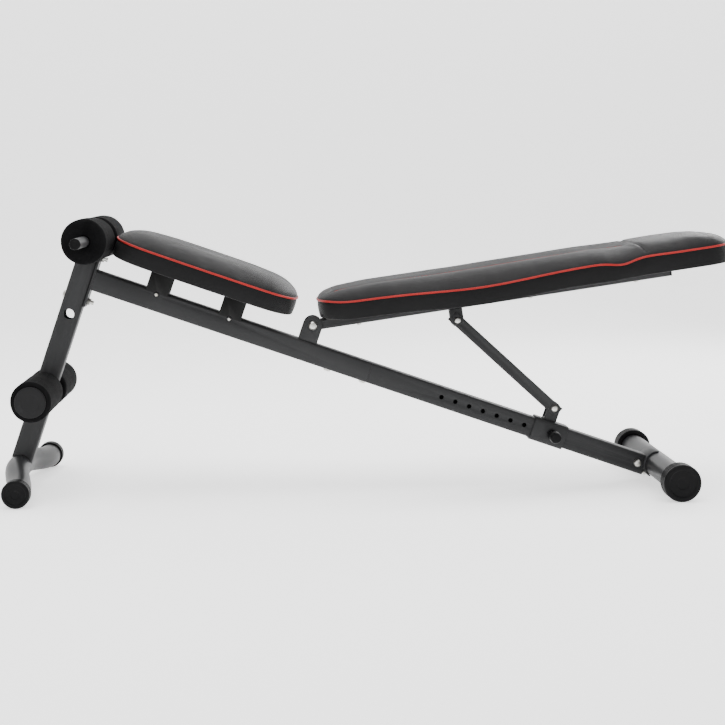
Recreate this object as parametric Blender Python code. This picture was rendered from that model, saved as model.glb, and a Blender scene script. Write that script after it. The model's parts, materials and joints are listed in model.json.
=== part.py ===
"""Adjustable sit-up bench: a sloping square beam on two cross feet, with a fixed seat and a back rest
that a strut and a locking sleeve hold at an angle.

Metres, +Z up. X runs from the front post to the head end, Y across the bench, -Y is the left side.
Most pieces sit in the beam's own axes: x along the beam, z square to it, origin at the corner where
the beam's centre line meets the post's.
"""
import math

import bmesh
import bpy
from mathutils import Vector

# Clearances
GAP = 0.0003            # between pieces that touch, are welded or are pressed together
RUNNING_GAP = 0.0003    # pivot pin in its hole, on the radius
SLIDE_GAP = 0.0010      # sleeve over the beam, on each side
FORK_GAP = 0.0005       # beside a piece that turns between two ears

# Square steel tube
TUBE = 0.040
TUBE_WALL = 0.002
TUBE_CORNER = 0.005
PLATE = 0.003           # bent plate of the brackets
SEGMENTS = 16           # sides of a round piece
BOLT_SEGMENTS = 12
FOAM_SEGMENTS = 20

# Stance
BEAM_LENGTH = 1.184     # corner to the middle of the rear foot, along the beam
POST_DROP = 0.3897      # corner to the middle of the front foot, along the post
REAR_FOOT_RISE = 0.010  # rear foot's centre over the beam's centre line

# Feet
FRONT_FOOT_WIDTH = 0.450
FRONT_FOOT_RADIUS = 0.0225
FRONT_CAP_RADIUS = 0.0265
FRONT_CAP_LENGTH = 0.024
FRONT_FOOT_ARCH = 0.016     # the middle stands over the ends
FRONT_FOOT_SWEEP = 0.026    # the ends are bent back under the bench
REAR_FOOT_WIDTH = 0.450
REAR_FOOT_RADIUS = 0.025
REAR_CAP_RADIUS = 0.036
REAR_CAP_LENGTH = 0.034
FOOT_WALL = 0.002
CAP_WALL = 0.004

# Front post, its joint with the beam, and the roller holes
POST_TOP = 0.100
END_PLATE_THICKNESS = 0.004
END_PLATE_HEIGHT = 0.110
POST_BOLT_SPACING = 0.088
POST_BOLT_RADIUS = 0.004
UPPER_ROLLER_HEIGHT = 0.075
SPARE_HOLE_HEIGHT = -0.077
LOWER_ROLLER_HEIGHT = -0.234

# Leg rollers
BAR_RADIUS = 0.010
BAR_WALL = 0.0015
FOAM_POST_GAP = 0.0015
UPPER_FOAM_RADIUS = 0.042
UPPER_FOAM_LENGTH = 0.150
UPPER_BAR_LENGTH = 0.570
LOWER_FOAM_RADIUS = 0.038
LOWER_FOAM_LENGTH = 0.163
ROLLER_CAP_RADIUS = 0.029
ROLLER_CAP_THICKNESS = 0.004
BAR_CAP_THICKNESS = 0.002
PLUG_DEPTH = 0.012

# Beam
BEAM_SEAM = 0.585           # where the front and rear lengths meet
BEAM_END_MARGIN = 0.022     # rear end stops short of the rear foot's centre
JOINER_LENGTH = 0.215
JOINER_WALL = 0.002
JOINER_OVERLAP = 0.100      # length of joiner inside the front beam
JOINER_BOLTS = (0.505, 0.5775)
HOLE_PITCH = 0.0288
HOLE_COUNT = 9
HOLE_RADIUS = 0.0045
PINNED_HOLE = 8

# Rear saddle
SADDLE_WIDTH = 0.060
SADDLE_HALF_ARC = math.radians(72)
SADDLE_STUB_LENGTH = 0.045
SADDLE_BOLT_SETBACK = 0.038
SADDLE_BOLT_RADIUS = 0.004
SADDLE_FOOT_BOLT_ANGLE = math.radians(60)
SADDLE_NUT_STANDOFF = 0.0010    # the nut's flat face bridges the tube's hollow inside

# Seat
SEAT_FRONT = 0.0435
SEAT_LENGTH = 0.362
SEAT_WIDTH = 0.280
SEAT_ROUNDS = (0.085, 0.075)    # length of the rounded front and rear ends
SEAT_BASE = 0.0605          # underside of the board over the beam's centre line
SEAT_SUPPORTS = (0.1465, 0.2935)
SUPPORT_LENGTH = 0.045
SUPPORT_WALL = 0.002
SUPPORT_LIP = 0.0055        # how far the support reaches down the beam's sides
SUPPORT_BOLT_DROP = 0.0075  # bolt's centre under the beam's top face
SUPPORT_BOLT_RADIUS = 0.0025
SMALL_BOLT_RADIUS = 0.003
NUT_FLATS = 1.6             # half a nut's width across its flats, in bolt radii

# Heads as (radius, height), nuts as (height, thread past the nut)
POST_HEAD, POST_NUT = (0.0095, 0.0045), (0.0065, 0.006)
JOINER_HEAD, JOINER_NUT = (0.009, 0.0045), (0.005, 0.003)
SADDLE_HEAD, SADDLE_NUT = (0.0085, 0.0055), (0.0065, 0.003)
FOOT_HEAD, FOOT_NUT = (0.0065, 0.0045), (0.004, 0.001)
HINGE_HEAD, HINGE_NUT = (0.0095, 0.005), (0.007, 0.003)
TAB_HEAD, TAB_NUT = (0.007, 0.004), (0.006, 0.002)
SUPPORT_HEAD, SUPPORT_NUT = (0.0042, 0.003), (0.004, 0.002)
STUD_HEAD = (0.0075, 0.004)
BOARD_SCREW_HEAD = (0.0055, 0.004)
RAIL_SCREW_HEAD = (0.006, 0.003)
SCREW_SHARE = 0.7           # share of the board's thickness that a screw reaches into

# Pads
BOARD_THICKNESS = 0.010
BOARD_INSET = 0.008
PAD_BAND = 0.033            # side wall, from the board's underside to the piping
PAD_THICKNESS = 0.057
BACK_LENGTH = 0.800
BACK_START = 0.016          # front end of the back pad past the hinge
BACK_FRONT_WIDTH = 0.236
BACK_MIDDLE_WIDTH = 0.276
BACK_HEAD_WIDTH = 0.236
BACK_ROUNDS = (0.095, 0.060)    # length of the rounded front and head ends
BACK_WAIST = 0.600          # where the head part begins, along the rail

# Back hinge and rail
HINGE_ALONG = 0.451
HINGE_HEIGHT = 0.052
BACK_ANGLE = math.radians(27.4556)  # between rail and beam, at the lowest setting
EAR_WIDTH = 0.037
HINGE_PIN_RADIUS = 0.005
RAIL_WIDTH = 0.030
RAIL_HEIGHT = 0.020
RAIL_WALL = 0.002
RAIL_FRONT = 0.012          # rail in front of the hinge pin
RAIL_LENGTH = 0.706         # from the hinge pin to the rail's end
BACK_SCREWS = (0.090, 0.430, 0.640)

# Strut
STRUT_LENGTH = 0.260        # between pivots
STRUT_DEPTH = 0.022
STRUT_WALL = 0.002
STRUT_END = 0.012           # past each pivot
STRUT_WEB_CUT = 0.034       # web stops this far from each pivot
TAB_ALONG = 0.280
TAB_DROP = 0.033            # upper pivot under the rail's centre line
TAB_WIDTH = 0.025
TAB_THICKNESS = 0.026       # across the bench, over both ears
PIVOT_RADIUS = 0.004

# Sleeve and pull pin
SLEEVE_LENGTH = 0.068
SLEEVE_WALL = 0.0025
SLEEVE_TO_PIN = 0.006       # pull pin past the sleeve's middle
CLEVIS_OFFSET = -0.005      # lower pivot from the sleeve's middle
CLEVIS_HEIGHT = 0.0488      # lower pivot over the beam's centre line
BARREL_RADIUS = 0.0095
BARREL_LENGTH = 0.018
PLUNGER_RADIUS = 0.004
SPRING_RADIUS = 0.0055
SPRING_WIRE = 0.0006
SPRING_TURNS = 5
BARREL_NUT_HEIGHT = 0.006
BARREL_END_WALL = 0.002
KNOB_RADIUS = 0.0115
KNOB_LENGTH = 0.030

# Worked out from the sizes above
HALF_TUBE = TUBE / 2
FLAT = math.cos(math.pi / SEGMENTS)   # a round cap stands on one of its flats
FRONT_CAP_HEIGHT = FRONT_CAP_RADIUS * FLAT
REAR_CAP_HEIGHT = REAR_CAP_RADIUS * FLAT
FOOT_MIDDLE_HEIGHT = FRONT_CAP_HEIGHT + FRONT_FOOT_ARCH
REACH = math.hypot(BEAM_LENGTH, POST_DROP + REAR_FOOT_RISE)
BEAM_ANGLE = (math.atan2(POST_DROP + REAR_FOOT_RISE, BEAM_LENGTH)
              + math.asin((FOOT_MIDDLE_HEIGHT - REAR_CAP_HEIGHT) / REACH))
CORNER_HEIGHT = FOOT_MIDDLE_HEIGHT + POST_DROP * math.cos(BEAM_ANGLE)
BEAM_START = HALF_TUBE + GAP + END_PLATE_THICKNESS + GAP
BEAM_END = BEAM_LENGTH - BEAM_END_MARGIN
SADDLE_RADIUS = REAR_FOOT_RADIUS + GAP
TAB_REACH = TAB_ALONG * math.cos(BACK_ANGLE) + TAB_DROP * math.sin(BACK_ANGLE)
TAB_RISE = TAB_ALONG * math.sin(BACK_ANGLE) - TAB_DROP * math.cos(BACK_ANGLE)
STRUT_DROP = HINGE_HEIGHT + TAB_RISE - CLEVIS_HEIGHT    # between its pivots, square to the beam
CLEVIS_ALONG = HINGE_ALONG + TAB_REACH + math.sqrt(STRUT_LENGTH ** 2 - STRUT_DROP ** 2)
SLEEVE_MIDDLE = CLEVIS_ALONG - CLEVIS_OFFSET
PIN_ALONG = SLEEVE_MIDDLE + SLEEVE_TO_PIN
FIRST_HOLE = PIN_ALONG - PINNED_HOLE * HOLE_PITCH
STRUT_ANGLE = BACK_ANGLE + math.asin(STRUT_DROP / STRUT_LENGTH)     # strut below the rail
SLEEVE_OUTER = TUBE + 2 * (SLIDE_GAP + SLEEVE_WALL)
SUPPORT_WIDTH = TUBE + 2 * (GAP + SUPPORT_WALL)
FORK_INNER = TAB_THICKNESS + 2 * FORK_GAP
BOARD_TOP = BOARD_THICKNESS + GAP
NUT_CORNER = SUPPORT_BOLT_RADIUS * NUT_FLATS / math.cos(math.pi / 6)
SUPPORT_NOTCH_RADIUS = max(SUPPORT_HEAD[0], NUT_CORNER) / math.cos(math.pi / BOLT_SEGMENTS) + GAP


# ---------------------------------------------------------------- scene, materials, placing

def clear_scene():
    for old in list(bpy.data.objects):
        bpy.data.objects.remove(old, do_unlink=True)


def material(name, colour, roughness, metallic=0.0):
    made = bpy.data.materials.new(name)
    made.use_nodes = True
    shader = made.node_tree.nodes["Principled BSDF"]
    shader.inputs["Base Color"].default_value = (*colour, 1.0)
    shader.inputs["Roughness"].default_value = roughness
    shader.inputs["Metallic"].default_value = metallic
    return made


FINISHES = {
    "graphite_paint": ((0.055, 0.056, 0.058), 0.42, 0.35),
    "black_paint": ((0.012, 0.012, 0.012), 0.40, 0.20),
    "zinc": ((0.72, 0.72, 0.70), 0.30, 1.0),
    "foam": ((0.006, 0.006, 0.006), 0.95, 0.0),
    "black_plastic": ((0.012, 0.012, 0.013), 0.45, 0.0),
    "vinyl": ((0.020, 0.019, 0.019), 0.40, 0.0),
    "plywood": ((0.42, 0.28, 0.15), 0.70, 0.0),
    "spring_steel": ((0.45, 0.45, 0.45), 0.35, 1.0),
}


def axes(name, parent=None, location=(0, 0, 0), pitch=0.0):
    """An empty whose x axis is turned down by pitch, for pieces to be placed in."""
    made = bpy.data.objects.new(name, None)
    made.empty_display_size = 0.05
    bpy.context.collection.objects.link(made)
    made.parent = parent
    made.location = location
    made.rotation_euler = (0, pitch, 0)
    return made


def new_object(name, mesh_data, parent, location=(0, 0, 0), finish=None, rotation=(0, 0, 0)):
    mesh = bpy.data.meshes.new(name)
    bmesh.ops.recalc_face_normals(mesh_data, faces=mesh_data.faces)
    mesh_data.to_mesh(mesh)
    mesh_data.free()
    made = bpy.data.objects.new(name, mesh)
    bpy.context.collection.objects.link(made)
    made.parent = parent
    made.location = location
    made.rotation_euler = rotation
    if finish:
        mesh.materials.append(material(name + "_finish", *FINISHES[finish]))
    return made


def smooth_round(made):
    made.data.shade_smooth()
    made.data.set_sharp_from_angle(angle=math.radians(35))
    return made


def cut(piece, cutter):
    cutter.hide_render = True
    cutter.display_type = "WIRE"
    step = piece.modifiers.new("cut", "BOOLEAN")
    step.operation = "DIFFERENCE"
    step.solver = "EXACT"
    step.object = cutter


# ---------------------------------------------------------------- shapes

def skin(loops, closed=False):
    """Quads between equal loops of points; the ends are filled, or joined to each other if closed."""
    work = bmesh.new()
    rings = [[work.verts.new(point) for point in loop] for loop in loops]
    pairs = list(zip(rings, rings[1:]))
    if closed:
        pairs.append((rings[-1], rings[0]))
    for one, two in pairs:
        for near in range(len(one)):
            far = (near + 1) % len(one)
            work.faces.new((one[near], one[far], two[far], two[near]))
    if not closed:
        work.faces.new(rings[0])
        work.faces.new(rings[-1])
    return work


def rounded_rectangle(width, height, radius, steps=2):
    """Corner arcs joined by straight sides, as (across, up) points."""
    points = []
    for corner in range(4):
        start = corner * math.pi / 2
        centre_across = math.copysign(width / 2 - radius, math.cos(start + math.pi / 4))
        centre_up = math.copysign(height / 2 - radius, math.sin(start + math.pi / 4))
        for step in range(steps + 1):
            angle = start + step * math.pi / 2 / steps
            points.append((centre_across + radius * math.cos(angle),
                           centre_up + radius * math.sin(angle)))
    return points


def tube_along_x(start, end, width, height, wall, corner=TUBE_CORNER):
    outer = rounded_rectangle(width, height, corner)
    inner = rounded_rectangle(width - 2 * wall, height - 2 * wall, corner - wall)
    return skin([[(x, across, up) for across, up in outline]
                 for x, outline in ((start, outer), (end, outer), (end, inner), (start, inner))],
                closed=True)


def plug_along_x(levels, corner):
    """A solid square plug: levels are (x, width, height) from its inner end to its cap."""
    return skin([[(x, across, up) for across, up in rounded_rectangle(width, height, corner)]
                 for x, width, height in levels])


def hexagon_radius(half_flats, angle):
    sixth = math.pi / 3
    return half_flats / math.cos((angle + sixth / 2) % sixth - sixth / 2)


def turned(profile, sides=SEGMENTS, axis="Y", hollow=False):
    """Turns (along, radius) points round an axis. A third item of "hex" makes that ring a hexagon.

    A solid profile starts and ends on the axis; a hollow one is a closed ring of points.
    """
    work = bmesh.new()
    rings = []
    for point in profile:
        along, radius = point[0], point[1]
        ring = []
        for side in range(1 if radius == 0 else sides):
            angle = 2 * math.pi * (side + 0.5) / sides
            if len(point) > 2:
                angle = 2 * math.pi * side / sides
            reach = hexagon_radius(radius, angle) if len(point) > 2 else radius
            across, up = reach * math.sin(angle), -reach * math.cos(angle)
            place = {"X": (along, across, up), "Y": (across, along, up), "Z": (across, up, along)}
            ring.append(work.verts.new(place[axis]))
        rings.append(ring)
    pairs = list(zip(rings, rings[1:]))
    if hollow:
        pairs.append((rings[-1], rings[0]))
    for one, two in pairs:
        for near in range(sides):
            far = (near + 1) % sides
            corners = [one[near % len(one)], one[far % len(one)], two[far % len(two)],
                       two[near % len(two)]]
            work.faces.new(list(dict.fromkeys(corners)))
    return work


def rod(start, end, radius, sides=SEGMENTS, axis="Y"):
    return turned([(start, 0), (start, radius), (end, radius), (end, 0)], sides, axis)


def block(low, high):
    work = bmesh.new()
    bmesh.ops.create_cube(work, size=1.0)
    size = [high[i] - low[i] for i in range(3)]
    middle = [(high[i] + low[i]) / 2 for i in range(3)]
    bmesh.ops.scale(work, vec=size, verts=work.verts)
    bmesh.ops.translate(work, vec=middle, verts=work.verts)
    return work


def combined(shapes):
    """One mesh of several separate shapes, for a cutter."""
    whole = bmesh.new()
    for shape in shapes:
        part = bpy.data.meshes.new("shape")
        shape.to_mesh(part)
        shape.free()
        whole.from_mesh(part)
        bpy.data.meshes.remove(part)
    return whole


def moved(shape, offset):
    bmesh.ops.translate(shape, vec=offset, verts=shape.verts)
    return shape


def outline_prism(points, low, high):
    """An outline in x and z, carried across the bench from low to high."""
    return skin([[(x, across, up) for x, up in points] for across in (low, high)])


def swept_tube(path, radius, sides=SEGMENTS, wall=None):
    """A round tube along a path that runs mainly across the bench."""
    def loops(tube_radius):
        made = []
        for number, point in enumerate(path):
            before = path[max(number - 1, 0)]
            after = path[min(number + 1, len(path) - 1)]
            heading = (Vector(after) - Vector(before)).normalized()
            first = Vector((0, 0, 1)).cross(heading).normalized()
            second = heading.cross(first)
            ring = []
            for side in range(sides):
                angle = 2 * math.pi * (side + 0.5) / sides
                offset = first * math.sin(angle) * tube_radius - second * math.cos(angle) * tube_radius
                ring.append(Vector(point) + offset)
            made.append(ring)
        return made
    outer = loops(radius)
    if wall is None:
        return skin(outer)
    return skin(outer + loops(radius - wall)[::-1], closed=True)


def bolt_profile(head_radius, head_height, shank_radius, grip, nut_height=0.0, tail=0.0):
    """Domed head at 0 reaching back, shank forward through the grip, then a nut and the thread's end."""
    points = [(-head_height, 0), (-head_height, head_radius * 0.65), (-GAP, head_radius),
              (-GAP, shank_radius)]
    if nut_height:
        half_flats = shank_radius * NUT_FLATS
        points += [(grip + GAP, shank_radius), (grip + GAP, half_flats, "hex"),
                   (grip + nut_height, half_flats, "hex"), (grip + nut_height, shank_radius)]
    return points + [(grip + nut_height + tail, shank_radius), (grip + nut_height + tail, 0)]


def flipped(profile):
    return [(-point[0], *point[1:]) for point in profile]


# ---------------------------------------------------------------- feet

def foot_bend(share):
    """Rise from 0 in the middle of the front foot to 1 near its ends, level at both."""
    flat_middle, flat_end = 0.12, 0.90
    travel = min(max((share - flat_middle) / (flat_end - flat_middle), 0.0), 1.0)
    return travel * travel * (3 - 2 * travel)


def front_foot_path(half_width, steps=14):
    path = []
    for step in range(steps + 1):
        across = half_width * (2 * step / steps - 1)
        bend = foot_bend(abs(across) / half_width)
        path.append((FRONT_FOOT_SWEEP * bend, across, -FRONT_FOOT_ARCH * bend))
    return path


def end_cap(name, parent, location, side, radius, length, tube_radius, finish="black_plastic"):
    """A cup over a foot's end. Its origin is at the tube's end; side is -1 for left, 1 for right."""
    rim = -(length - CAP_WALL - GAP)
    edge = radius * 0.10
    bore = tube_radius + GAP
    profile = [(GAP, 0), (GAP, bore), (rim, bore), (rim, radius - edge), (rim + edge, radius),
               (GAP + CAP_WALL - edge, radius), (GAP + CAP_WALL, radius - edge), (GAP + CAP_WALL, 0)]
    shape = turned(profile if side > 0 else flipped(profile))
    return smooth_round(new_object(name, shape, parent, location, finish))


def build_front_foot(bench, beam_axes):
    bpy.context.view_layer.update()
    middle = beam_axes.matrix_world @ Vector((0, 0, -POST_DROP))
    half = FRONT_FOOT_WIDTH / 2 - GAP - CAP_WALL
    foot = new_object("front_foot", swept_tube(front_foot_path(half), FRONT_FOOT_RADIUS, wall=FOOT_WALL),
                      bench, middle, "graphite_paint")
    smooth_round(foot)
    for name, side in (("front_foot_cap_left", -1), ("front_foot_cap_right", 1)):
        place = middle + Vector((FRONT_FOOT_SWEEP, side * half, -FRONT_FOOT_ARCH))
        end_cap(name, bench, place, side, FRONT_CAP_RADIUS, FRONT_CAP_LENGTH, FRONT_FOOT_RADIUS)
    cope = swept_tube(front_foot_path(half), FRONT_FOOT_RADIUS + GAP)
    return new_object("front_foot_cope", cope, bench, middle)


def build_rear_foot(bench, beam_axes):
    bpy.context.view_layer.update()
    middle = beam_axes.matrix_world @ Vector((BEAM_LENGTH, 0, REAR_FOOT_RISE))
    half = REAR_FOOT_WIDTH / 2 - GAP - CAP_WALL
    outer, inner = REAR_FOOT_RADIUS, REAR_FOOT_RADIUS - FOOT_WALL
    shape = turned([(-half, outer), (half, outer), (half, inner), (-half, inner)], hollow=True)
    foot = smooth_round(new_object("rear_foot", shape, bench, middle, "graphite_paint"))
    for name, side in (("rear_foot_cap_left", -1), ("rear_foot_cap_right", 1)):
        place = middle + Vector((0, side * half, 0))
        end_cap(name, bench, place, side, REAR_CAP_RADIUS, REAR_CAP_LENGTH, REAR_FOOT_RADIUS)
    return foot


# ---------------------------------------------------------------- post, beam and their fasteners

def build_post(beam_axes, cope):
    shape = tube_along_x(-POST_DROP, POST_TOP, TUBE, TUBE, TUBE_WALL)
    post = new_object("front_post", shape, beam_axes, (0, 0, 0), "graphite_paint",
                      rotation=(0, -math.pi / 2, 0))
    cut(post, cope)
    holes = [moved(rod(-TUBE, TUBE, BAR_RADIUS + RUNNING_GAP), (0, 0, height))
             for height in (UPPER_ROLLER_HEIGHT, SPARE_HOLE_HEIGHT, LOWER_ROLLER_HEIGHT)]
    holes += [moved(rod(-TUBE, TUBE, POST_BOLT_RADIUS + GAP, BOLT_SEGMENTS, "X"), (0, 0, height))
              for height in (POST_BOLT_SPACING / 2, -POST_BOLT_SPACING / 2)]
    cut(post, new_object("post_holes", combined(holes), beam_axes))
    inner = TUBE - 2 * (TUBE_WALL + GAP)
    plug = plug_along_x([(POST_TOP - PLUG_DEPTH, inner, inner), (POST_TOP + GAP, inner, inner),
                         (POST_TOP + GAP, TUBE, TUBE), (POST_TOP + PLATE, TUBE, TUBE)], 0.0025)
    new_object("post_top_plug", plug, beam_axes, finish="black_plastic", rotation=(0, -math.pi / 2, 0))
    for name, height in (("post_bolt_upper", POST_BOLT_SPACING / 2),
                         ("post_bolt_lower", -POST_BOLT_SPACING / 2)):
        grip = TUBE + GAP + END_PLATE_THICKNESS
        profile = bolt_profile(*POST_HEAD, POST_BOLT_RADIUS, grip, *POST_NUT)
        shape = turned(profile, BOLT_SEGMENTS, "X")
        smooth_round(new_object(name, shape, beam_axes, (-HALF_TUBE, 0, height), "zinc"))


def build_front_beam(beam_axes):
    plate_start = HALF_TUBE + GAP
    plate = new_object("beam_end_plate",
                       block((plate_start, -HALF_TUBE, -END_PLATE_HEIGHT / 2),
                             (plate_start + END_PLATE_THICKNESS, HALF_TUBE, END_PLATE_HEIGHT / 2)),
                       beam_axes, finish="graphite_paint")
    bolt_holes = [moved(rod(-TUBE, TUBE, POST_BOLT_RADIUS + GAP, BOLT_SEGMENTS, "X"), (TUBE, 0, height))
                  for height in (POST_BOLT_SPACING / 2, -POST_BOLT_SPACING / 2)]
    cut(plate, new_object("end_plate_holes", combined(bolt_holes), beam_axes))
    return new_object("front_beam", tube_along_x(BEAM_START, BEAM_SEAM, TUBE, TUBE, TUBE_WALL),
                      beam_axes, finish="graphite_paint")


def build_rear_beam(beam_axes):
    shape = tube_along_x(BEAM_SEAM + GAP, BEAM_END, TUBE, TUBE, TUBE_WALL)
    beam = new_object("rear_beam", shape, beam_axes, finish="graphite_paint")
    holes = [moved(rod(-TUBE, -HALF_TUBE / 2, HOLE_RADIUS, 16), (FIRST_HOLE + number * HOLE_PITCH, 0, 0))
             for number in range(HOLE_COUNT)]
    cut(beam, new_object("pin_holes", combined(holes), beam_axes))
    saddle = rod(-TUBE, TUBE, SADDLE_RADIUS + PLATE + GAP, 32)
    cut(beam, new_object("beam_cope", saddle, beam_axes, (BEAM_LENGTH, 0, REAR_FOOT_RISE)))
    return beam


def build_joiner(beam_axes, front_beam):
    outer = TUBE - 2 * (TUBE_WALL + GAP)
    start = BEAM_SEAM - JOINER_OVERLAP
    joiner = new_object("beam_joiner",
                        tube_along_x(start, start + JOINER_LENGTH, outer, outer, JOINER_WALL,
                                     TUBE_CORNER - TUBE_WALL),
                        beam_axes, finish="graphite_paint")
    holes = [moved(rod(-TUBE, 0, SMALL_BOLT_RADIUS + GAP, BOLT_SEGMENTS, "Z"), (along, 0, 0))
             for along in JOINER_BOLTS]
    holes = new_object("joiner_holes", combined(holes), beam_axes)
    for piece in (front_beam, joiner):
        cut(piece, holes)
    grip = TUBE_WALL + GAP + JOINER_WALL
    for name, along in zip(("joiner_bolt_front", "joiner_bolt_rear"), JOINER_BOLTS):
        profile = bolt_profile(*JOINER_HEAD, SMALL_BOLT_RADIUS, grip, *JOINER_NUT)
        shape = turned(profile, BOLT_SEGMENTS, "Z")
        smooth_round(new_object(name, shape, beam_axes, (along, 0, -HALF_TUBE), "zinc"))


# ---------------------------------------------------------------- rear saddle

def build_saddle(beam_axes, beam, foot):
    """A curved plate round the foot with a square stub inside the beam's end."""
    centre = (BEAM_LENGTH, 0, REAR_FOOT_RISE)
    steps = 12
    arc = []
    for radius, order in ((SADDLE_RADIUS, 1), (SADDLE_RADIUS + PLATE, -1)):
        for step in range(steps + 1)[::order]:
            angle = math.pi - SADDLE_HALF_ARC + 2 * SADDLE_HALF_ARC * step / steps
            arc.append((radius * math.cos(angle), radius * math.sin(angle)))
    saddle = new_object("rear_saddle", outline_prism(arc, -SADDLE_WIDTH / 2, SADDLE_WIDTH / 2),
                        beam_axes, centre, "graphite_paint")
    outer = TUBE - 2 * (TUBE_WALL + GAP)
    stub_end = BEAM_LENGTH - SADDLE_RADIUS - PLATE / 2
    stub = new_object("saddle_stub_shape",
                      tube_along_x(stub_end - SADDLE_STUB_LENGTH, stub_end, outer, outer, PLATE, 0.0035),
                      beam_axes)
    stub.hide_render = True
    stub.display_type = "WIRE"
    weld = saddle.modifiers.new("weld", "BOOLEAN")
    weld.operation = "UNION"
    weld.solver = "EXACT"
    weld.object = stub
    foot_space = rod(-TUBE, TUBE, REAR_FOOT_RADIUS + GAP, 48)
    cut(saddle, new_object("saddle_foot_space", foot_space, beam_axes, centre))

    bolt_along = BEAM_LENGTH - SADDLE_BOLT_SETBACK
    cross = rod(-TUBE, TUBE, SADDLE_BOLT_RADIUS + GAP, BOLT_SEGMENTS)
    cross = new_object("saddle_cross_hole", cross, beam_axes, (bolt_along, 0, 0))
    cut(saddle, cross)
    cut(beam, cross)
    profile = bolt_profile(*SADDLE_HEAD, SADDLE_BOLT_RADIUS, TUBE, *SADDLE_NUT)
    smooth_round(new_object("saddle_cross_bolt", turned(profile, BOLT_SEGMENTS), beam_axes,
                            (bolt_along, -HALF_TUBE, 0), "zinc"))

    turn = (0, math.pi / 2 - SADDLE_FOOT_BOLT_ANGLE, 0)
    hole = rod(-REAR_FOOT_RADIUS * 2, 0, SMALL_BOLT_RADIUS + GAP, BOLT_SEGMENTS, "Z")
    hole = new_object("saddle_foot_hole", hole, beam_axes, centre, rotation=turn)
    cut(saddle, hole)
    cut(foot, hole)
    grip = PLATE + GAP + FOOT_WALL + SADDLE_NUT_STANDOFF
    profile = bolt_profile(*FOOT_HEAD, SMALL_BOLT_RADIUS, grip, *FOOT_NUT)
    shape = moved(turned(profile, BOLT_SEGMENTS, "Z"), (0, 0, -(SADDLE_RADIUS + PLATE)))
    smooth_round(new_object("saddle_foot_bolt", shape, beam_axes, centre, "zinc", turn))


# ---------------------------------------------------------------- pads

def end_round(distance, radius, power=2.6):
    """Share of full width at a distance from a pad's rounded end."""
    if distance >= radius:
        return 1.0
    return (1 - (1 - distance / radius) ** power) ** (1 / power)


def ease(low, high, place):
    travel = min(max((place - low) / (high - low), 0.0), 1.0)
    return travel * travel * (3 - 2 * travel)


def back_half_width(along):
    """Half width of the back pad: it widens to the shoulders and steps in at the head part."""
    wider = ease(0.0, BACK_LENGTH * 0.45, along)
    narrower = ease(BACK_WAIST - 0.060, BACK_WAIST + 0.030, along)
    body = BACK_FRONT_WIDTH + (BACK_MIDDLE_WIDTH - BACK_FRONT_WIDTH) * wider
    return (body + (BACK_HEAD_WIDTH - body) * narrower) / 2


def seat_half_width(along):
    """Half width of the seat, fullest in the middle."""
    return SEAT_WIDTH / 2 * (1 - 0.10 * (2 * along / SEAT_LENGTH - 1) ** 2)


def pad_outline(length, half_width, front_radius, rear_radius, steps=15):
    """Right side from front to rear and back along the left, with points closer at the ends."""
    side = []
    for step in range(steps + 1):
        along = length * (1 - math.cos(math.pi * step / steps)) / 2
        share = end_round(along, front_radius) * end_round(length - along, rear_radius)
        side.append((along, half_width(along) * share))
    return side + [(along, -width) for along, width in side[-2:0:-1]]


def pad_levels(outline, length, widest, levels):
    """Loops of the outline drawn in by an amount, one for each (height, inset)."""
    loops = []
    for height, inset in levels:
        shrink_along = 1 - 2 * inset / length
        shrink_across = 1 - 2 * inset / widest
        loops.append([(length / 2 + (along - length / 2) * shrink_along, across * shrink_across, height)
                      for along, across in outline])
    return skin(loops)


def build_pad(name, parent, place, outline, length, widest, screws):
    """A plywood board and the upholstered foam on it, both in the pad's own axes."""
    board = pad_levels(outline, length, widest, [(0, BOARD_INSET), (BOARD_THICKNESS, BOARD_INSET)])
    board = new_object(name + "_board", board, parent, place, "plywood")
    holes = [moved(rod(-0.002, BOARD_THICKNESS * 0.8, SMALL_BOLT_RADIUS + GAP, BOLT_SEGMENTS, "Z"),
                   (along - place[0], 0, 0)) for along in screws]
    cut(board, new_object(name + "_board_holes", combined(holes), parent, place))
    cushion = pad_levels(outline, length, widest,
                         [(BOARD_TOP, 0.007), (PAD_BAND, 0.0), (PAD_BAND + 0.012, 0.005),
                          (PAD_THICKNESS, 0.022)])
    new_object(name + "_cushion", cushion, parent, place, "vinyl")


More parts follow.
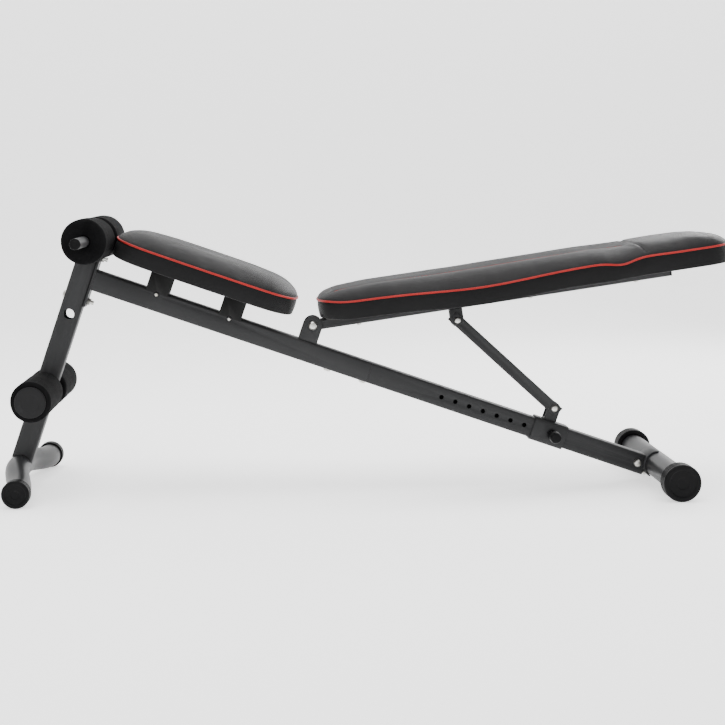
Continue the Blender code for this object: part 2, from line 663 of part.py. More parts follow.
def build_seat(beam_axes, front_beam):
    outline = pad_outline(SEAT_LENGTH, seat_half_width, *SEAT_ROUNDS)
    build_pad("seat", beam_axes, (SEAT_FRONT, 0, SEAT_BASE), outline, SEAT_LENGTH, SEAT_WIDTH,
              SEAT_SUPPORTS)
    top = SEAT_BASE - GAP
    half_length = SUPPORT_LENGTH / 2
    cross_holes = []
    for name, along in zip(("front", "rear"), SEAT_SUPPORTS):
        outside = block((-half_length, -SUPPORT_WIDTH / 2, HALF_TUBE - SUPPORT_LIP),
                        (half_length, SUPPORT_WIDTH / 2, top))
        support = new_object("seat_support_" + name, outside, beam_axes, (along, 0, 0), "black_paint")
        web_top = HALF_TUBE + GAP + SUPPORT_WALL
        spaces = [block((-1.5 * half_length, -HALF_TUBE - GAP, 0),
                        (1.5 * half_length, HALF_TUBE + GAP, HALF_TUBE + GAP)),
                  block((-1.5 * half_length, -SUPPORT_WIDTH / 2 + SUPPORT_WALL, web_top),
                        (1.5 * half_length, SUPPORT_WIDTH / 2 - SUPPORT_WALL, top - SUPPORT_WALL))]
        cut(support, new_object("support_spaces_" + name, combined(spaces), beam_axes, (along, 0, 0)))
        holes = [rod(top - 2 * SUPPORT_WALL, top + SUPPORT_WALL, SMALL_BOLT_RADIUS + GAP,
                     BOLT_SEGMENTS, "Z"),
                 moved(rod(-TUBE, TUBE, SUPPORT_NOTCH_RADIUS, BOLT_SEGMENTS),
                       (0, 0, HALF_TUBE - SUPPORT_BOLT_DROP))]
        cut(support, new_object("support_holes_" + name, combined(holes), beam_axes, (along, 0, 0)))
        profile = bolt_profile(*SUPPORT_HEAD, SUPPORT_BOLT_RADIUS, TUBE, *SUPPORT_NUT)
        bolt_height = HALF_TUBE - SUPPORT_BOLT_DROP
        smooth_round(new_object("seat_support_bolt_" + name, turned(profile, BOLT_SEGMENTS), beam_axes,
                                (along, -HALF_TUBE, bolt_height), "zinc"))
        cross_holes.append(moved(rod(-TUBE, TUBE, SUPPORT_BOLT_RADIUS + GAP, BOLT_SEGMENTS),
                                 (along, 0, bolt_height)))
        reach = SUPPORT_WALL + GAP + BOARD_THICKNESS * SCREW_SHARE
        profile = bolt_profile(*BOARD_SCREW_HEAD, SMALL_BOLT_RADIUS, reach)
        smooth_round(new_object("seat_screw_" + name, turned(profile, BOLT_SEGMENTS, "Z"), beam_axes,
                                (along, 0, top - SUPPORT_WALL), "zinc"))
    cut(front_beam, new_object("support_bolt_holes", combined(cross_holes), beam_axes))


# ---------------------------------------------------------------- back hinge and rail

def ear_outline(height, half_width, base):
    """A plate from its base up to a round end about a hole at height."""
    arc = []
    for step in range(9):
        angle = math.pi * step / 8
        arc.append((half_width * math.cos(angle), height + half_width * math.sin(angle)))
    return [(-half_width, base), (half_width, base)] + arc


def forked_bracket(name, parent, place, outer, gap_inside, height, half_width, base, hole, finish):
    """Two ears on a base plate, bent from one sheet. The base is at place, the hole at height."""
    bracket = new_object(name, outline_prism(ear_outline(height, half_width, base), -outer / 2, outer / 2),
                         parent, place, finish)
    thickness = (outer - gap_inside) / 2
    over = half_width * 3
    spaces = block((-over, -gap_inside / 2, base + thickness), (over, gap_inside / 2, height + over))
    cut(bracket, new_object(name + "_space", spaces, parent, place))
    bore = moved(rod(-outer, outer, hole), (0, 0, height))
    cut(bracket, new_object(name + "_bore", bore, parent, place))
    return bracket


def build_hinge(beam_axes):
    inside = RAIL_WIDTH + 2 * FORK_GAP
    outer = inside + 2 * PLATE
    forked_bracket("hinge_bracket", beam_axes, (HINGE_ALONG, 0, 0), outer, inside, HINGE_HEIGHT,
                   EAR_WIDTH / 2, HALF_TUBE + GAP, HINGE_PIN_RADIUS + GAP, "graphite_paint")
    profile = bolt_profile(*HINGE_HEAD, HINGE_PIN_RADIUS, outer, *HINGE_NUT)
    smooth_round(new_object("hinge_bolt", turned(profile, BOLT_SEGMENTS), beam_axes,
                            (HINGE_ALONG, -outer / 2, HINGE_HEIGHT), "zinc"))


def build_back(hinge_axes):
    shape = tube_along_x(-RAIL_FRONT, RAIL_LENGTH, RAIL_WIDTH, RAIL_HEIGHT, RAIL_WALL, 0.004)
    rail = new_object("back_rail", shape, hinge_axes, finish="graphite_paint")
    bores = [rod(-TUBE, TUBE, HINGE_PIN_RADIUS + RUNNING_GAP)]
    bores += [moved(rod(-TUBE, TUBE, SMALL_BOLT_RADIUS + GAP, BOLT_SEGMENTS, "Z"), (along, 0, 0))
              for along in BACK_SCREWS]
    cut(rail, new_object("rail_bores", combined(bores), hinge_axes))
    inner_width = RAIL_WIDTH - 2 * (RAIL_WALL + GAP)
    inner_height = RAIL_HEIGHT - 2 * (RAIL_WALL + GAP)
    plug = plug_along_x([(RAIL_LENGTH - PLUG_DEPTH, inner_width, inner_height),
                         (RAIL_LENGTH + GAP, inner_width, inner_height),
                         (RAIL_LENGTH + GAP, RAIL_WIDTH, RAIL_HEIGHT),
                         (RAIL_LENGTH + PLATE, RAIL_WIDTH, RAIL_HEIGHT)], 0.002)
    new_object("rail_end_plug", plug, hinge_axes, finish="black_plastic")

    board_base = RAIL_HEIGHT / 2 + GAP
    outline = pad_outline(BACK_LENGTH, back_half_width, *BACK_ROUNDS, steps=21)
    build_pad("back", hinge_axes, (BACK_START, 0, board_base), outline, BACK_LENGTH, BACK_MIDDLE_WIDTH,
              BACK_SCREWS)
    for number, along in enumerate(BACK_SCREWS, 1):
        reach = RAIL_HEIGHT + GAP + BOARD_THICKNESS * SCREW_SHARE
        profile = bolt_profile(*RAIL_SCREW_HEAD, SMALL_BOLT_RADIUS, reach)
        smooth_round(new_object("back_screw_%d" % number, turned(profile, BOLT_SEGMENTS, "Z"), hinge_axes,
                                (along, 0, -RAIL_HEIGHT / 2), "zinc"))

    tab_axes = axes("tab_axes", hinge_axes, (TAB_ALONG, 0, 0), math.pi)
    forked_bracket("strut_tab", tab_axes, (0, 0, 0), TAB_THICKNESS, TAB_THICKNESS - 2 * PLATE, TAB_DROP,
                   TAB_WIDTH / 2, RAIL_HEIGHT / 2 + GAP, PIVOT_RADIUS + GAP, "graphite_paint")
    fork_outer = FORK_INNER + 2 * STRUT_WALL
    profile = bolt_profile(*TAB_HEAD, PIVOT_RADIUS, fork_outer, *TAB_NUT)
    smooth_round(new_object("strut_upper_bolt", turned(profile, BOLT_SEGMENTS), hinge_axes,
                            (TAB_ALONG, -fork_outer / 2, -TAB_DROP), "zinc"))


def build_strut(strut_axes):
    """A channel over both brackets, its web on the upper side and cut back at the ends."""
    outer = FORK_INNER + 2 * STRUT_WALL
    start, end = -STRUT_END, STRUT_LENGTH + STRUT_END
    half = STRUT_DEPTH / 2
    body = new_object("strut", block((start, -outer / 2, -half), (end, outer / 2, half)), strut_axes,
                      finish="graphite_paint")
    inside = FORK_INNER / 2
    channel = block((start - half, -inside, -2 * half), (end + half, inside, half - STRUT_WALL))
    cut(body, new_object("strut_channel_space", channel, strut_axes))
    spaces = [block((start - half, -inside, -half / 2), (STRUT_WEB_CUT, inside, 2 * half)),
              block((STRUT_LENGTH - STRUT_WEB_CUT, -inside, -half / 2), (end + half, inside, 2 * half))]
    cut(body, new_object("strut_web_cuts", combined(spaces), strut_axes))
    bores = [rod(-TUBE, TUBE, PIVOT_RADIUS + RUNNING_GAP, BOLT_SEGMENTS),
             moved(rod(-TUBE, TUBE, PIVOT_RADIUS + RUNNING_GAP, BOLT_SEGMENTS), (STRUT_LENGTH, 0, 0))]
    cut(body, new_object("strut_bores", combined(bores), strut_axes))
    profile = bolt_profile(*STUD_HEAD, PIVOT_RADIUS, STRUT_WALL)
    for name, side in (("strut_stud_left", -1), ("strut_stud_right", 1)):
        shape = turned(profile if side < 0 else flipped(profile), BOLT_SEGMENTS)
        smooth_round(new_object(name, shape, strut_axes, (STRUT_LENGTH, side * outer / 2, 0), "zinc"))


# ---------------------------------------------------------------- sleeve and pull pin

def build_sleeve(sleeve_axes):
    half = SLEEVE_LENGTH / 2
    shape = tube_along_x(-half, half, SLEEVE_OUTER, SLEEVE_OUTER, SLEEVE_WALL, TUBE_CORNER + SLEEVE_WALL)
    sleeve = new_object("adjuster_sleeve", shape, sleeve_axes, finish="graphite_paint")
    pin_hole = rod(-TUBE, 0, PLUNGER_RADIUS + RUNNING_GAP, 16)
    cut(sleeve, new_object("sleeve_pin_hole", pin_hole, sleeve_axes, (SLEEVE_TO_PIN, 0, 0)))
    forked_bracket("sleeve_clevis", sleeve_axes, (CLEVIS_OFFSET, 0, 0), TAB_THICKNESS,
                   TAB_THICKNESS - 2 * PLATE, CLEVIS_HEIGHT, TAB_WIDTH / 2, SLEEVE_OUTER / 2 + GAP,
                   PIVOT_RADIUS + GAP, "graphite_paint")
    half_pin = TAB_THICKNESS / 2
    new_object("strut_lower_pin", rod(-half_pin, half_pin, PIVOT_RADIUS, BOLT_SEGMENTS), sleeve_axes,
               (CLEVIS_OFFSET, 0, CLEVIS_HEIGHT), "zinc")

    face = SLEEVE_OUTER / 2 + GAP
    bore = PLUNGER_RADIUS + RUNNING_GAP
    chamber = SPRING_RADIUS + SPRING_WIRE + GAP
    closed_end = BARREL_END_WALL - BARREL_LENGTH
    barrel = [(0, bore), (0, BARREL_RADIUS, "hex"), (-BARREL_NUT_HEIGHT, BARREL_RADIUS, "hex"),
              (-BARREL_NUT_HEIGHT, BARREL_RADIUS * 0.85), (-BARREL_LENGTH, BARREL_RADIUS * 0.85),
              (-BARREL_LENGTH, bore), (closed_end, bore), (closed_end, chamber),
              (-BARREL_END_WALL, chamber), (-BARREL_END_WALL, bore)]
    smooth_round(new_object("pop_pin_barrel", turned(barrel, hollow=True), sleeve_axes,
                            (SLEEVE_TO_PIN, -face, 0), "black_plastic"))
    length = BARREL_LENGTH - 2 * (BARREL_END_WALL + SPRING_WIRE + GAP)
    per_turn = 8
    path = []
    for step in range(SPRING_TURNS * per_turn + 1):
        angle = 2 * math.pi * step / per_turn
        path.append(Vector((SPRING_RADIUS * math.cos(angle),
                            -length * step / (SPRING_TURNS * per_turn),
                            SPRING_RADIUS * math.sin(angle))))
    coil = bpy.data.curves.new("pop_pin_spring", "CURVE")
    coil.dimensions = "3D"
    coil.bevel_depth = SPRING_WIRE
    coil.bevel_resolution = 0
    coil.use_fill_caps = True
    line = coil.splines.new("POLY")
    line.points.add(len(path) - 1)
    for point, place in zip(line.points, path):
        point.co = (*place, 1.0)
    coil.materials.append(material("pop_pin_spring_finish", *FINISHES["spring_steel"]))
    spring = bpy.data.objects.new("pop_pin_spring", coil)
    bpy.context.collection.objects.link(spring)
    spring.parent = sleeve_axes
    spring.location = (SLEEVE_TO_PIN, -face - BARREL_END_WALL - SPRING_WIRE - GAP, 0)


def build_pull_pin(pin_axes):
    """Origin where the pin's tip stops, just clear of the beam."""
    tip = -(HALF_TUBE + 2 * GAP)
    knob_start = -(SLEEVE_OUTER / 2 + 2 * GAP + BARREL_LENGTH)
    knob_end = knob_start - KNOB_LENGTH
    rod_end = knob_start - KNOB_LENGTH * 0.6
    plunger = turned([(tip, 0), (tip, PLUNGER_RADIUS), (rod_end, PLUNGER_RADIUS), (rod_end, 0)], 16)
    smooth_round(new_object("pop_pin_plunger", plunger, pin_axes, finish="zinc"))
    bore = PLUNGER_RADIUS + GAP
    profile = [(rod_end - GAP, 0), (rod_end - GAP, bore), (knob_start, bore),
               (knob_start, KNOB_RADIUS * 0.75), (knob_start - 0.006, KNOB_RADIUS * 0.8),
               (knob_start - 0.012, KNOB_RADIUS), (knob_end + 0.003, KNOB_RADIUS),
               (knob_end, KNOB_RADIUS * 0.8), (knob_end, 0)]
    smooth_round(new_object("pop_pin_knob", turned(profile), pin_axes, finish="black_plastic"))


# ---------------------------------------------------------------- leg rollers

def build_roller(name, roller_axes, foam_radius, foam_length, bar_length, cap_radius, cap_thickness):
    """A bar through the post, a foam roll on each side, and a stopper in each end of the bar."""
    half = bar_length / 2
    inner = BAR_RADIUS - BAR_WALL
    bar = turned([(-half, BAR_RADIUS), (half, BAR_RADIUS), (half, inner), (-half, inner)], hollow=True)
    smooth_round(new_object(name + "_roller_bar", bar, roller_axes, finish="graphite_paint"))
    start = HALF_TUBE + FOAM_POST_GAP
    edge = foam_radius * 0.12
    foam = [(start, BAR_RADIUS + GAP), (start, foam_radius - edge), (start + edge, foam_radius),
            (start + foam_length - edge, foam_radius), (start + foam_length, foam_radius - edge),
            (start + foam_length, BAR_RADIUS + GAP)]
    stopper = [(half - PLUG_DEPTH, 0), (half - PLUG_DEPTH, inner - GAP), (half + GAP, inner - GAP),
               (half + GAP, cap_radius), (half + GAP + cap_thickness * 0.6, cap_radius),
               (half + GAP + cap_thickness, cap_radius * 0.92), (half + GAP + cap_thickness, 0)]
    for side, word in ((-1, "left"), (1, "right")):
        roll = turned(foam if side > 0 else flipped(foam), FOAM_SEGMENTS, hollow=True)
        smooth_round(new_object("%s_foam_%s" % (name, word), roll, roller_axes, finish="foam"))
        plug = turned(stopper if side > 0 else flipped(stopper))
        smooth_round(new_object("%s_roller_plug_%s" % (name, word), plug, roller_axes,
                                finish="black_plastic"))


def lower_bar_length():
    """The lower bar ends level with its foam, so that its wide stoppers hold the foam in."""
    return 2 * (HALF_TUBE + FOAM_POST_GAP + LOWER_FOAM_LENGTH)


# ---------------------------------------------------------------- assembly

def centre_on_origin(bench):
    """Moves the bench along x so that the origin is under the middle of its box."""
    bpy.context.view_layer.update()
    graph = bpy.context.evaluated_depsgraph_get()
    reach = []
    for piece in bpy.data.objects:
        if piece.type in ("MESH", "CURVE") and not piece.hide_render:
            solid = piece.evaluated_get(graph)
            mesh = solid.to_mesh()
            places = [(solid.matrix_world @ vertex.co).x for vertex in mesh.vertices]
            reach += [min(places), max(places)]
            solid.to_mesh_clear()
    bench.location.x = -(min(reach) + max(reach)) / 2


def main():
    clear_scene()
    bench = axes("bench")
    beam_axes = axes("beam_axes", bench, (0, 0, CORNER_HEIGHT), BEAM_ANGLE)
    cope = build_front_foot(bench, beam_axes)
    rear_foot = build_rear_foot(bench, beam_axes)
    build_post(beam_axes, cope)
    front_beam = build_front_beam(beam_axes)
    rear_beam = build_rear_beam(beam_axes)
    build_joiner(beam_axes, front_beam)
    build_saddle(beam_axes, rear_beam, rear_foot)
    build_seat(beam_axes, front_beam)
    build_hinge(beam_axes)

    hinge_axes = axes("back_tilt_axes", beam_axes, (HINGE_ALONG, 0, HINGE_HEIGHT), -BACK_ANGLE)
    build_back(hinge_axes)
    strut_axes = axes("strut_swing_axes", hinge_axes, (TAB_ALONG, 0, -TAB_DROP), STRUT_ANGLE)
    build_strut(strut_axes)
    sleeve_axes = axes("sleeve_slide_axes", beam_axes, (SLEEVE_MIDDLE, 0, 0))
    build_sleeve(sleeve_axes)
    build_pull_pin(axes("pin_pull_axes", sleeve_axes, (SLEEVE_TO_PIN, 0, 0)))

    upper_axes = axes("upper_roller_axes", beam_axes, (0, 0, UPPER_ROLLER_HEIGHT))
    build_roller("upper", upper_axes, UPPER_FOAM_RADIUS, UPPER_FOAM_LENGTH, UPPER_BAR_LENGTH,
                 BAR_RADIUS, BAR_CAP_THICKNESS)
    lower_axes = axes("lower_roller_axes", beam_axes, (0, 0, LOWER_ROLLER_HEIGHT))
    build_roller("lower", lower_axes, LOWER_FOAM_RADIUS, LOWER_FOAM_LENGTH, lower_bar_length(),
                 ROLLER_CAP_RADIUS, ROLLER_CAP_THICKNESS)
    centre_on_origin(bench)


main()
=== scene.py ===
# %% [markdown]
# # A sit-up bench with a tilting back rest
# The steel frame comes from the CAD model and keeps its shape. This lesson gives it paint, rounded
# edges and bright bolts, and makes what a CAD solid only hints at: upholstered pads with piping,
# foam leg rollers, moulded caps and a gripping knob.

# %% Load the frame, with a helper that measures a part's box
import bmesh
import bpy
import json
import math
import numpy as np
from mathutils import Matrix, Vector


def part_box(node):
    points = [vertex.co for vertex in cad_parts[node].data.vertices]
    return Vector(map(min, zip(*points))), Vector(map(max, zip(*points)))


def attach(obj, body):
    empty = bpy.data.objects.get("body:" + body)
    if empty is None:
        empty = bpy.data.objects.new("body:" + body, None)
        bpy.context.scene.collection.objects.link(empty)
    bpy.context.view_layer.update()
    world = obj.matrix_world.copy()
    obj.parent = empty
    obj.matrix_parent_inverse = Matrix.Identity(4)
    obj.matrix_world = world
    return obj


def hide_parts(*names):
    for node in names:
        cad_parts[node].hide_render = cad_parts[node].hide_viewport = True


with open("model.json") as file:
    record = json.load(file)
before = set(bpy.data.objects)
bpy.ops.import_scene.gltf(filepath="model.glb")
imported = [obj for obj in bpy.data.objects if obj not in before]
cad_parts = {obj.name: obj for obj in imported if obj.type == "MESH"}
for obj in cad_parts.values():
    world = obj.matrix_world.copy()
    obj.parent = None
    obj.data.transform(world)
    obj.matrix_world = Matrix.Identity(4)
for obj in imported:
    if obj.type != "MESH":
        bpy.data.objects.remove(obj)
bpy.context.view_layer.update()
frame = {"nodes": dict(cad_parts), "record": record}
record = frame["record"]
joints = {joint["name"]: joint for joint in record["behaviour"]["joints"]}
body_of_node = {node: body for body, nodes in record["behaviour"]["bodies"].items() for node in nodes}
slot_of_node = {part["node"]: part["material_slot"] for part in record["subparts"]}

# %% [markdown]
# The bench slopes, so most pieces are easier to think about in sloping axes. The sleeve slides along
# the beam, which gives the beam's direction. The back rail runs from the hinge to its end plug.

# %% Axes of the beam and of the back rail
class Axes:
    """A place to build in: x along a piece, y across the bench, z square to both."""

    def __init__(self, origin, along):
        self.origin = np.array(origin, float)
        self.along = np.array(along, float) / np.linalg.norm(along)
        self.across = np.array((0.0, 1.0, 0.0))
        self.up = np.cross(self.along, self.across)

    def place(self, points):
        """Local points to world: the origin plus each coordinate times its axis."""
        points = np.asarray(points, float)
        return (self.origin + points[..., 0:1] * self.along + points[..., 1:2] * self.across
                + points[..., 2:3] * self.up)

    def span(self, node):
        """Lowest and highest local corner of a CAD node, measured along these axes."""
        mesh = frame["nodes"][node].data
        flat = np.empty(len(mesh.vertices) * 3)
        mesh.vertices.foreach_get("co", flat)
        offset = flat.reshape(-1, 3) - self.origin
        local = np.stack([offset @ self.along, offset @ self.across, offset @ self.up], axis=1)
        return local.min(axis=0), local.max(axis=0)


def middle(node):
    low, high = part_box(node)
    return (low + high) / 2


upper_roller = Vector(joints["upper_roller_spin"]["pos_m"])
hinge = Vector(joints["back_tilt"]["pos_m"])
beam = Axes(upper_roller, joints["sleeve_slide"]["axis"])
rail = Axes(hinge, middle("rail_end_plug") - hinge)
print("beam slopes", round(math.degrees(math.asin(-beam.along[2])), 1), "degrees down")
print("rail slopes", round(math.degrees(math.asin(rail.along[2])), 1), "degrees up")

# %% [markdown]
# A finish is a graph of shader nodes. Written out node by node it is long and hard to read, so a small
# class wraps a socket and lets plain arithmetic add the Math nodes.

# %% Shader arithmetic
class Socket:
    """An output socket that adds, subtracts, multiplies and divides by building Math nodes."""

    def __init__(self, recipe, output):
        self.recipe = recipe
        self.output = output

    def math(self, operation, first, second):
        return self.recipe.node("ShaderNodeMath", {"operation": operation}, {0: first, 1: second})

    def __add__(self, other):
        return self.math("ADD", self, other)

    def __sub__(self, other):
        return self.math("SUBTRACT", self, other)

    def __rsub__(self, other):
        return self.math("SUBTRACT", other, self)

    def __mul__(self, other):
        return self.math("MULTIPLY", self, other)

    def __truediv__(self, other):
        return self.math("DIVIDE", self, other)

    __radd__ = __add__
    __rmul__ = __mul__


class Recipe:
    """A material and the nodes that make it."""

    def __init__(self, name):
        self.material = bpy.data.materials.new(name)
        self.material.use_nodes = True
        self.tree = self.material.node_tree
        self.shader = self.tree.nodes["Principled BSDF"]

    def put(self, value, socket):
        if isinstance(value, Socket):
            self.tree.links.new(value.output, socket)
        elif socket.type == "RGBA" and len(value) == 3:
            socket.default_value = (*value, 1.0)
        else:
            socket.default_value = value

    def node(self, kind, settings=None, sockets=None, output=0):
        """Adds a node: first its settings, then the values or links of its sockets."""
        made = self.tree.nodes.new(kind)
        for key, value in (settings or {}).items():
            setattr(made, key, value)
        for key, value in (sockets or {}).items():
            self.put(value, made.inputs[key])
        return Socket(self, made.outputs[output])

    def here(self):
        return self.node("ShaderNodeTexCoord", output="Object")

    def noise(self, scale, detail=3.0, roughness=0.55, where=None):
        return self.node("ShaderNodeTexNoise", None,
                         {"Vector": where or self.here(), "Scale": scale, "Detail": detail,
                          "Roughness": roughness}, "Fac")

    def cells(self, scale, feature="F1", randomness=1.0, where=None):
        return self.node("ShaderNodeTexVoronoi", {"feature": feature},
                         {"Vector": where or self.here(), "Scale": scale, "Randomness": randomness},
                         "Distance")

    def steps(self, value, low, high):
        """0 below low, 1 above high and a smooth ramp between them."""
        return self.node("ShaderNodeMapRange", {"interpolation_type": "SMOOTHSTEP"},
                         {"Value": value, "From Min": low, "From Max": high})

    def mix(self, share, first, second):
        return self.node("ShaderNodeMix", {"data_type": "RGBA"}, {0: share, 6: first, 7: second}, 2)

    def stretched(self, scale):
        return self.node("ShaderNodeMapping", None, {"Vector": self.here(), "Scale": scale})

    def bump(self, height, distance, strength=1.0, normal=None):
        sockets = {"Height": height, "Distance": distance, "Strength": strength}
        if normal is not None:
            sockets["Normal"] = normal
        return self.node("ShaderNodeBump", None, sockets)

    def finish(self, **values):
        """Sets the shader's own sockets: Base_Color=... means the socket Base Color."""
        for key, value in values.items():
            self.put(value, self.shader.inputs[key.replace("_", " ")])
        return self.material


print("shader helpers ready")

# %% [markdown]
# The frame is powder coated. Powder flows a little as it bakes, which leaves a faint orange peel, and
# the coat holds fine specks of a lighter grey. The two foot tubes have the same colour with more gloss.

# %% Powder coat
def powder_coat(name, colour, roughness, coat, specular):
    recipe = Recipe(name)
    cloud = recipe.noise(9.0, 4.0)
    speck = recipe.steps(recipe.noise(1400.0, 1.0), 0.60, 0.72)
    lighter = tuple(channel * 1.5 + 0.003 for channel in colour)
    tone = recipe.mix(recipe.steps(cloud, 0.30, 0.75) * 0.30, colour, lighter)
    tone = recipe.mix(speck * 0.30, tone, tuple(channel * 2.4 + 0.01 for channel in colour))
    scuff = recipe.steps(recipe.noise(38.0, 6.0, 0.7), 0.60, 0.78)
    peel = recipe.bump(recipe.noise(420.0, 2.0), 0.00012, 0.35)
    return recipe.finish(Base_Color=tone, Roughness=roughness + scuff * 0.16 + speck * 0.08,
                         Coat_Weight=coat, Coat_Roughness=0.22, Normal=peel,
                         Specular_IOR_Level=specular)


GRAPHITE = powder_coat("graphite_powder_coat", (0.021, 0.0213, 0.022), 0.50, 0.0, 0.16)
GLOSS_GRAPHITE = powder_coat("glossy_graphite_powder_coat", (0.016, 0.0163, 0.017), 0.38, 0.0, 0.12)
BLACK_PAINT = powder_coat("black_powder_coat", (0.004, 0.004, 0.004), 0.50, 0.0, 0.20)
print("three powder coats")

# %% [markdown]
# Bolts are zinc plated: bright, slightly yellowed in patches, with a grain from the wire drawing.

# %% Zinc plate and spring steel
def plated(name, colour, tint, roughness):
    recipe = Recipe(name)
    patch = recipe.steps(recipe.noise(160.0, 4.0), 0.40, 0.70)
    scratch = recipe.noise(1.0, 2.0, 0.5, recipe.stretched((300.0, 2600.0, 300.0)))
    rough = roughness + recipe.noise(700.0, 2.0) * 0.14 + scratch * 0.08
    return recipe.finish(Base_Color=recipe.mix(patch, colour, tint), Roughness=rough, Metallic=1.0,
                         Normal=recipe.bump(scratch, 0.00005, 0.4))


ZINC = plated("zinc_plate", (0.62, 0.62, 0.60), (0.50, 0.48, 0.42), 0.22)
SPRING_STEEL = plated("spring_steel", (0.36, 0.36, 0.36), (0.28, 0.28, 0.27), 0.28)
print("plated metals")

# %% [markdown]
# The pads are covered in leatherette, a vinyl sheet embossed with a pebble grain. Small cells with
# raised middles make the pebbles, and a broader noise makes the sheen uneven, as handling does.

# %% Leatherette
def leatherette(name, colour, roughness, grain, specular):
    recipe = Recipe(name)
    pebble = recipe.steps(recipe.cells(820.0, "DISTANCE_TO_EDGE"), 0.0, 0.16)
    fold = recipe.noise(60.0, 5.0, 0.6)
    rub = recipe.steps(recipe.noise(7.0, 3.0), 0.35, 0.70)
    tone = recipe.mix(pebble * 0.5 + rub * 0.3, tuple(channel * 0.55 for channel in colour), colour)
    creases = recipe.bump(fold, 0.0009, 0.35)
    relief = recipe.bump(pebble, 0.00025, grain, creases)
    rough = roughness + (1 - pebble) * 0.18 - rub * 0.07
    return recipe.finish(Base_Color=tone, Roughness=rough, Normal=relief,
                         Specular_IOR_Level=specular)


PAD_TOP = leatherette("pad_top_leatherette", (0.014, 0.0135, 0.014), 0.50, 0.65, 0.16)
# The side leatherette is a darker copy of the top's: painted shade on the pads' sides.
PAD_SIDE_PAINTED_SHADE = leatherette("pad_side_leatherette_painted_shade", (0.0045, 0.0045, 0.005), 0.50, 0.75, 0.16)
PIPING_RED = leatherette("piping_vinyl", (0.40, 0.012, 0.010), 0.42, 0.30, 0.22)
print("leatherette for the tops, sides and piping")

# %% [markdown]
# The rollers are closed-cell foam: matte, full of fine pores, and a little greyer where it is rubbed.
# The caps are moulded plastic with a fine spark texture, and the pads' boards are plywood stained dark.

# %% Foam, moulded plastic, plywood and thread
def roller_foam():
    recipe = Recipe("closed_cell_foam")
    pores = recipe.cells(520.0)
    mottle = recipe.noise(26.0, 5.0, 0.65)
    tone = recipe.mix(recipe.steps(mottle, 0.35, 0.75) * 0.6 + pores * 0.2, (0.0022, 0.0022, 0.0024),
                      (0.0085, 0.0085, 0.009))
    skin = recipe.bump(mottle, 0.0010, 0.35)
    return recipe.finish(Base_Color=tone, Roughness=0.86 + mottle * 0.12,
                         Normal=recipe.bump(pores, 0.0005, 0.7, skin), Specular_IOR_Level=0.05)


def moulded_plastic(name, colour, roughness):
    recipe = Recipe(name)
    spark = recipe.noise(900.0, 2.0)
    worn = recipe.steps(recipe.noise(55.0, 4.0), 0.55, 0.75)
    tone = recipe.mix(worn * 0.4, colour, tuple(channel * 2.2 for channel in colour))
    return recipe.finish(Base_Color=tone, Roughness=roughness + worn * 0.12,
                         Normal=recipe.bump(spark, 0.00010, 0.5), Specular_IOR_Level=0.09)


def plywood():
    recipe = Recipe("plywood")
    grain = recipe.noise(1.0, 5.0, 0.65, recipe.stretched((9.0, 150.0, 60.0)))
    tone = recipe.mix(recipe.steps(grain, 0.30, 0.72), (0.010, 0.008, 0.007), (0.030, 0.024, 0.019))
    return recipe.finish(Base_Color=tone, Roughness=0.62 + grain * 0.2,
                         Normal=recipe.bump(grain, 0.0003, 0.5))


FOAM = roller_foam()
BLACK_PLASTIC = moulded_plastic("black_moulded_plastic", (0.0030, 0.0030, 0.0033), 0.45)
GREY_PLASTIC = moulded_plastic("charcoal_moulded_plastic", (0.012, 0.012, 0.0125), 0.55)
PLYWOOD = plywood()
THREAD = moulded_plastic("dark_red_thread", (0.22, 0.016, 0.012), 0.6)
print(len(bpy.data.materials), "materials")

# %% [markdown]
# A piece made here is an array of points in rows and columns. One helper turns that array into a mesh:
# it joins each point to its neighbours, welds the seam and the poles, and hands the piece to the frame.

# %% From a grid of points to a piece
def weld(mesh, distance=1e-6, fill=False):
    work = bmesh.new()
    work.from_mesh(mesh)
    bmesh.ops.remove_doubles(work, verts=work.verts, dist=distance)
    bmesh.ops.dissolve_degenerate(work, edges=work.edges, dist=distance / 10)
    if fill:
        bmesh.ops.recalc_face_normals(work, faces=work.faces)
    work.to_mesh(mesh)
    work.free()


def hand_over(piece, body, nodes=(), slot=None):
    """The piece moves with a body and stands for the CAD nodes it replaces."""
    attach(piece, body)
    if nodes:
        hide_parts(*nodes)
    slot = slot or (slot_of_node[nodes[0]] if nodes else None)
    return piece


def surface(name, points, material, body, nodes=(), slot=None, wrap_rows=False, sharp=50):
    """A closed skin over points[row, column]. Columns wrap round. Rows may too, as on a ring."""
    rows, columns = points.shape[:2]
    number = np.arange(rows * columns).reshape(rows, columns)
    below = np.roll(number, -1, axis=0) if wrap_rows else number[1:]
    above = number if wrap_rows else number[:-1]
    quads = np.stack([above, np.roll(above, -1, axis=1), np.roll(below, -1, axis=1), below], axis=-1)
    mesh = bpy.data.meshes.new(name)
    mesh.from_pydata(points.reshape(-1, 3).tolist(), [], quads.reshape(-1, 4).tolist())
    weld(mesh, fill=True)
    mesh.shade_smooth()
    mesh.set_sharp_from_angle(angle=math.radians(sharp))
    mesh.materials.append(material)
    piece = bpy.data.objects.new(name, mesh)
    bpy.context.collection.objects.link(piece)
    return hand_over(piece, body, nodes, slot)


print("grid helper ready")

# %% [markdown]
# Steel pieces whose CAD shape is right are copied, welded and given a small bevel. A pressed or sawn
# edge is never perfectly sharp, and the bevel catches the thin line of light that a real edge has.

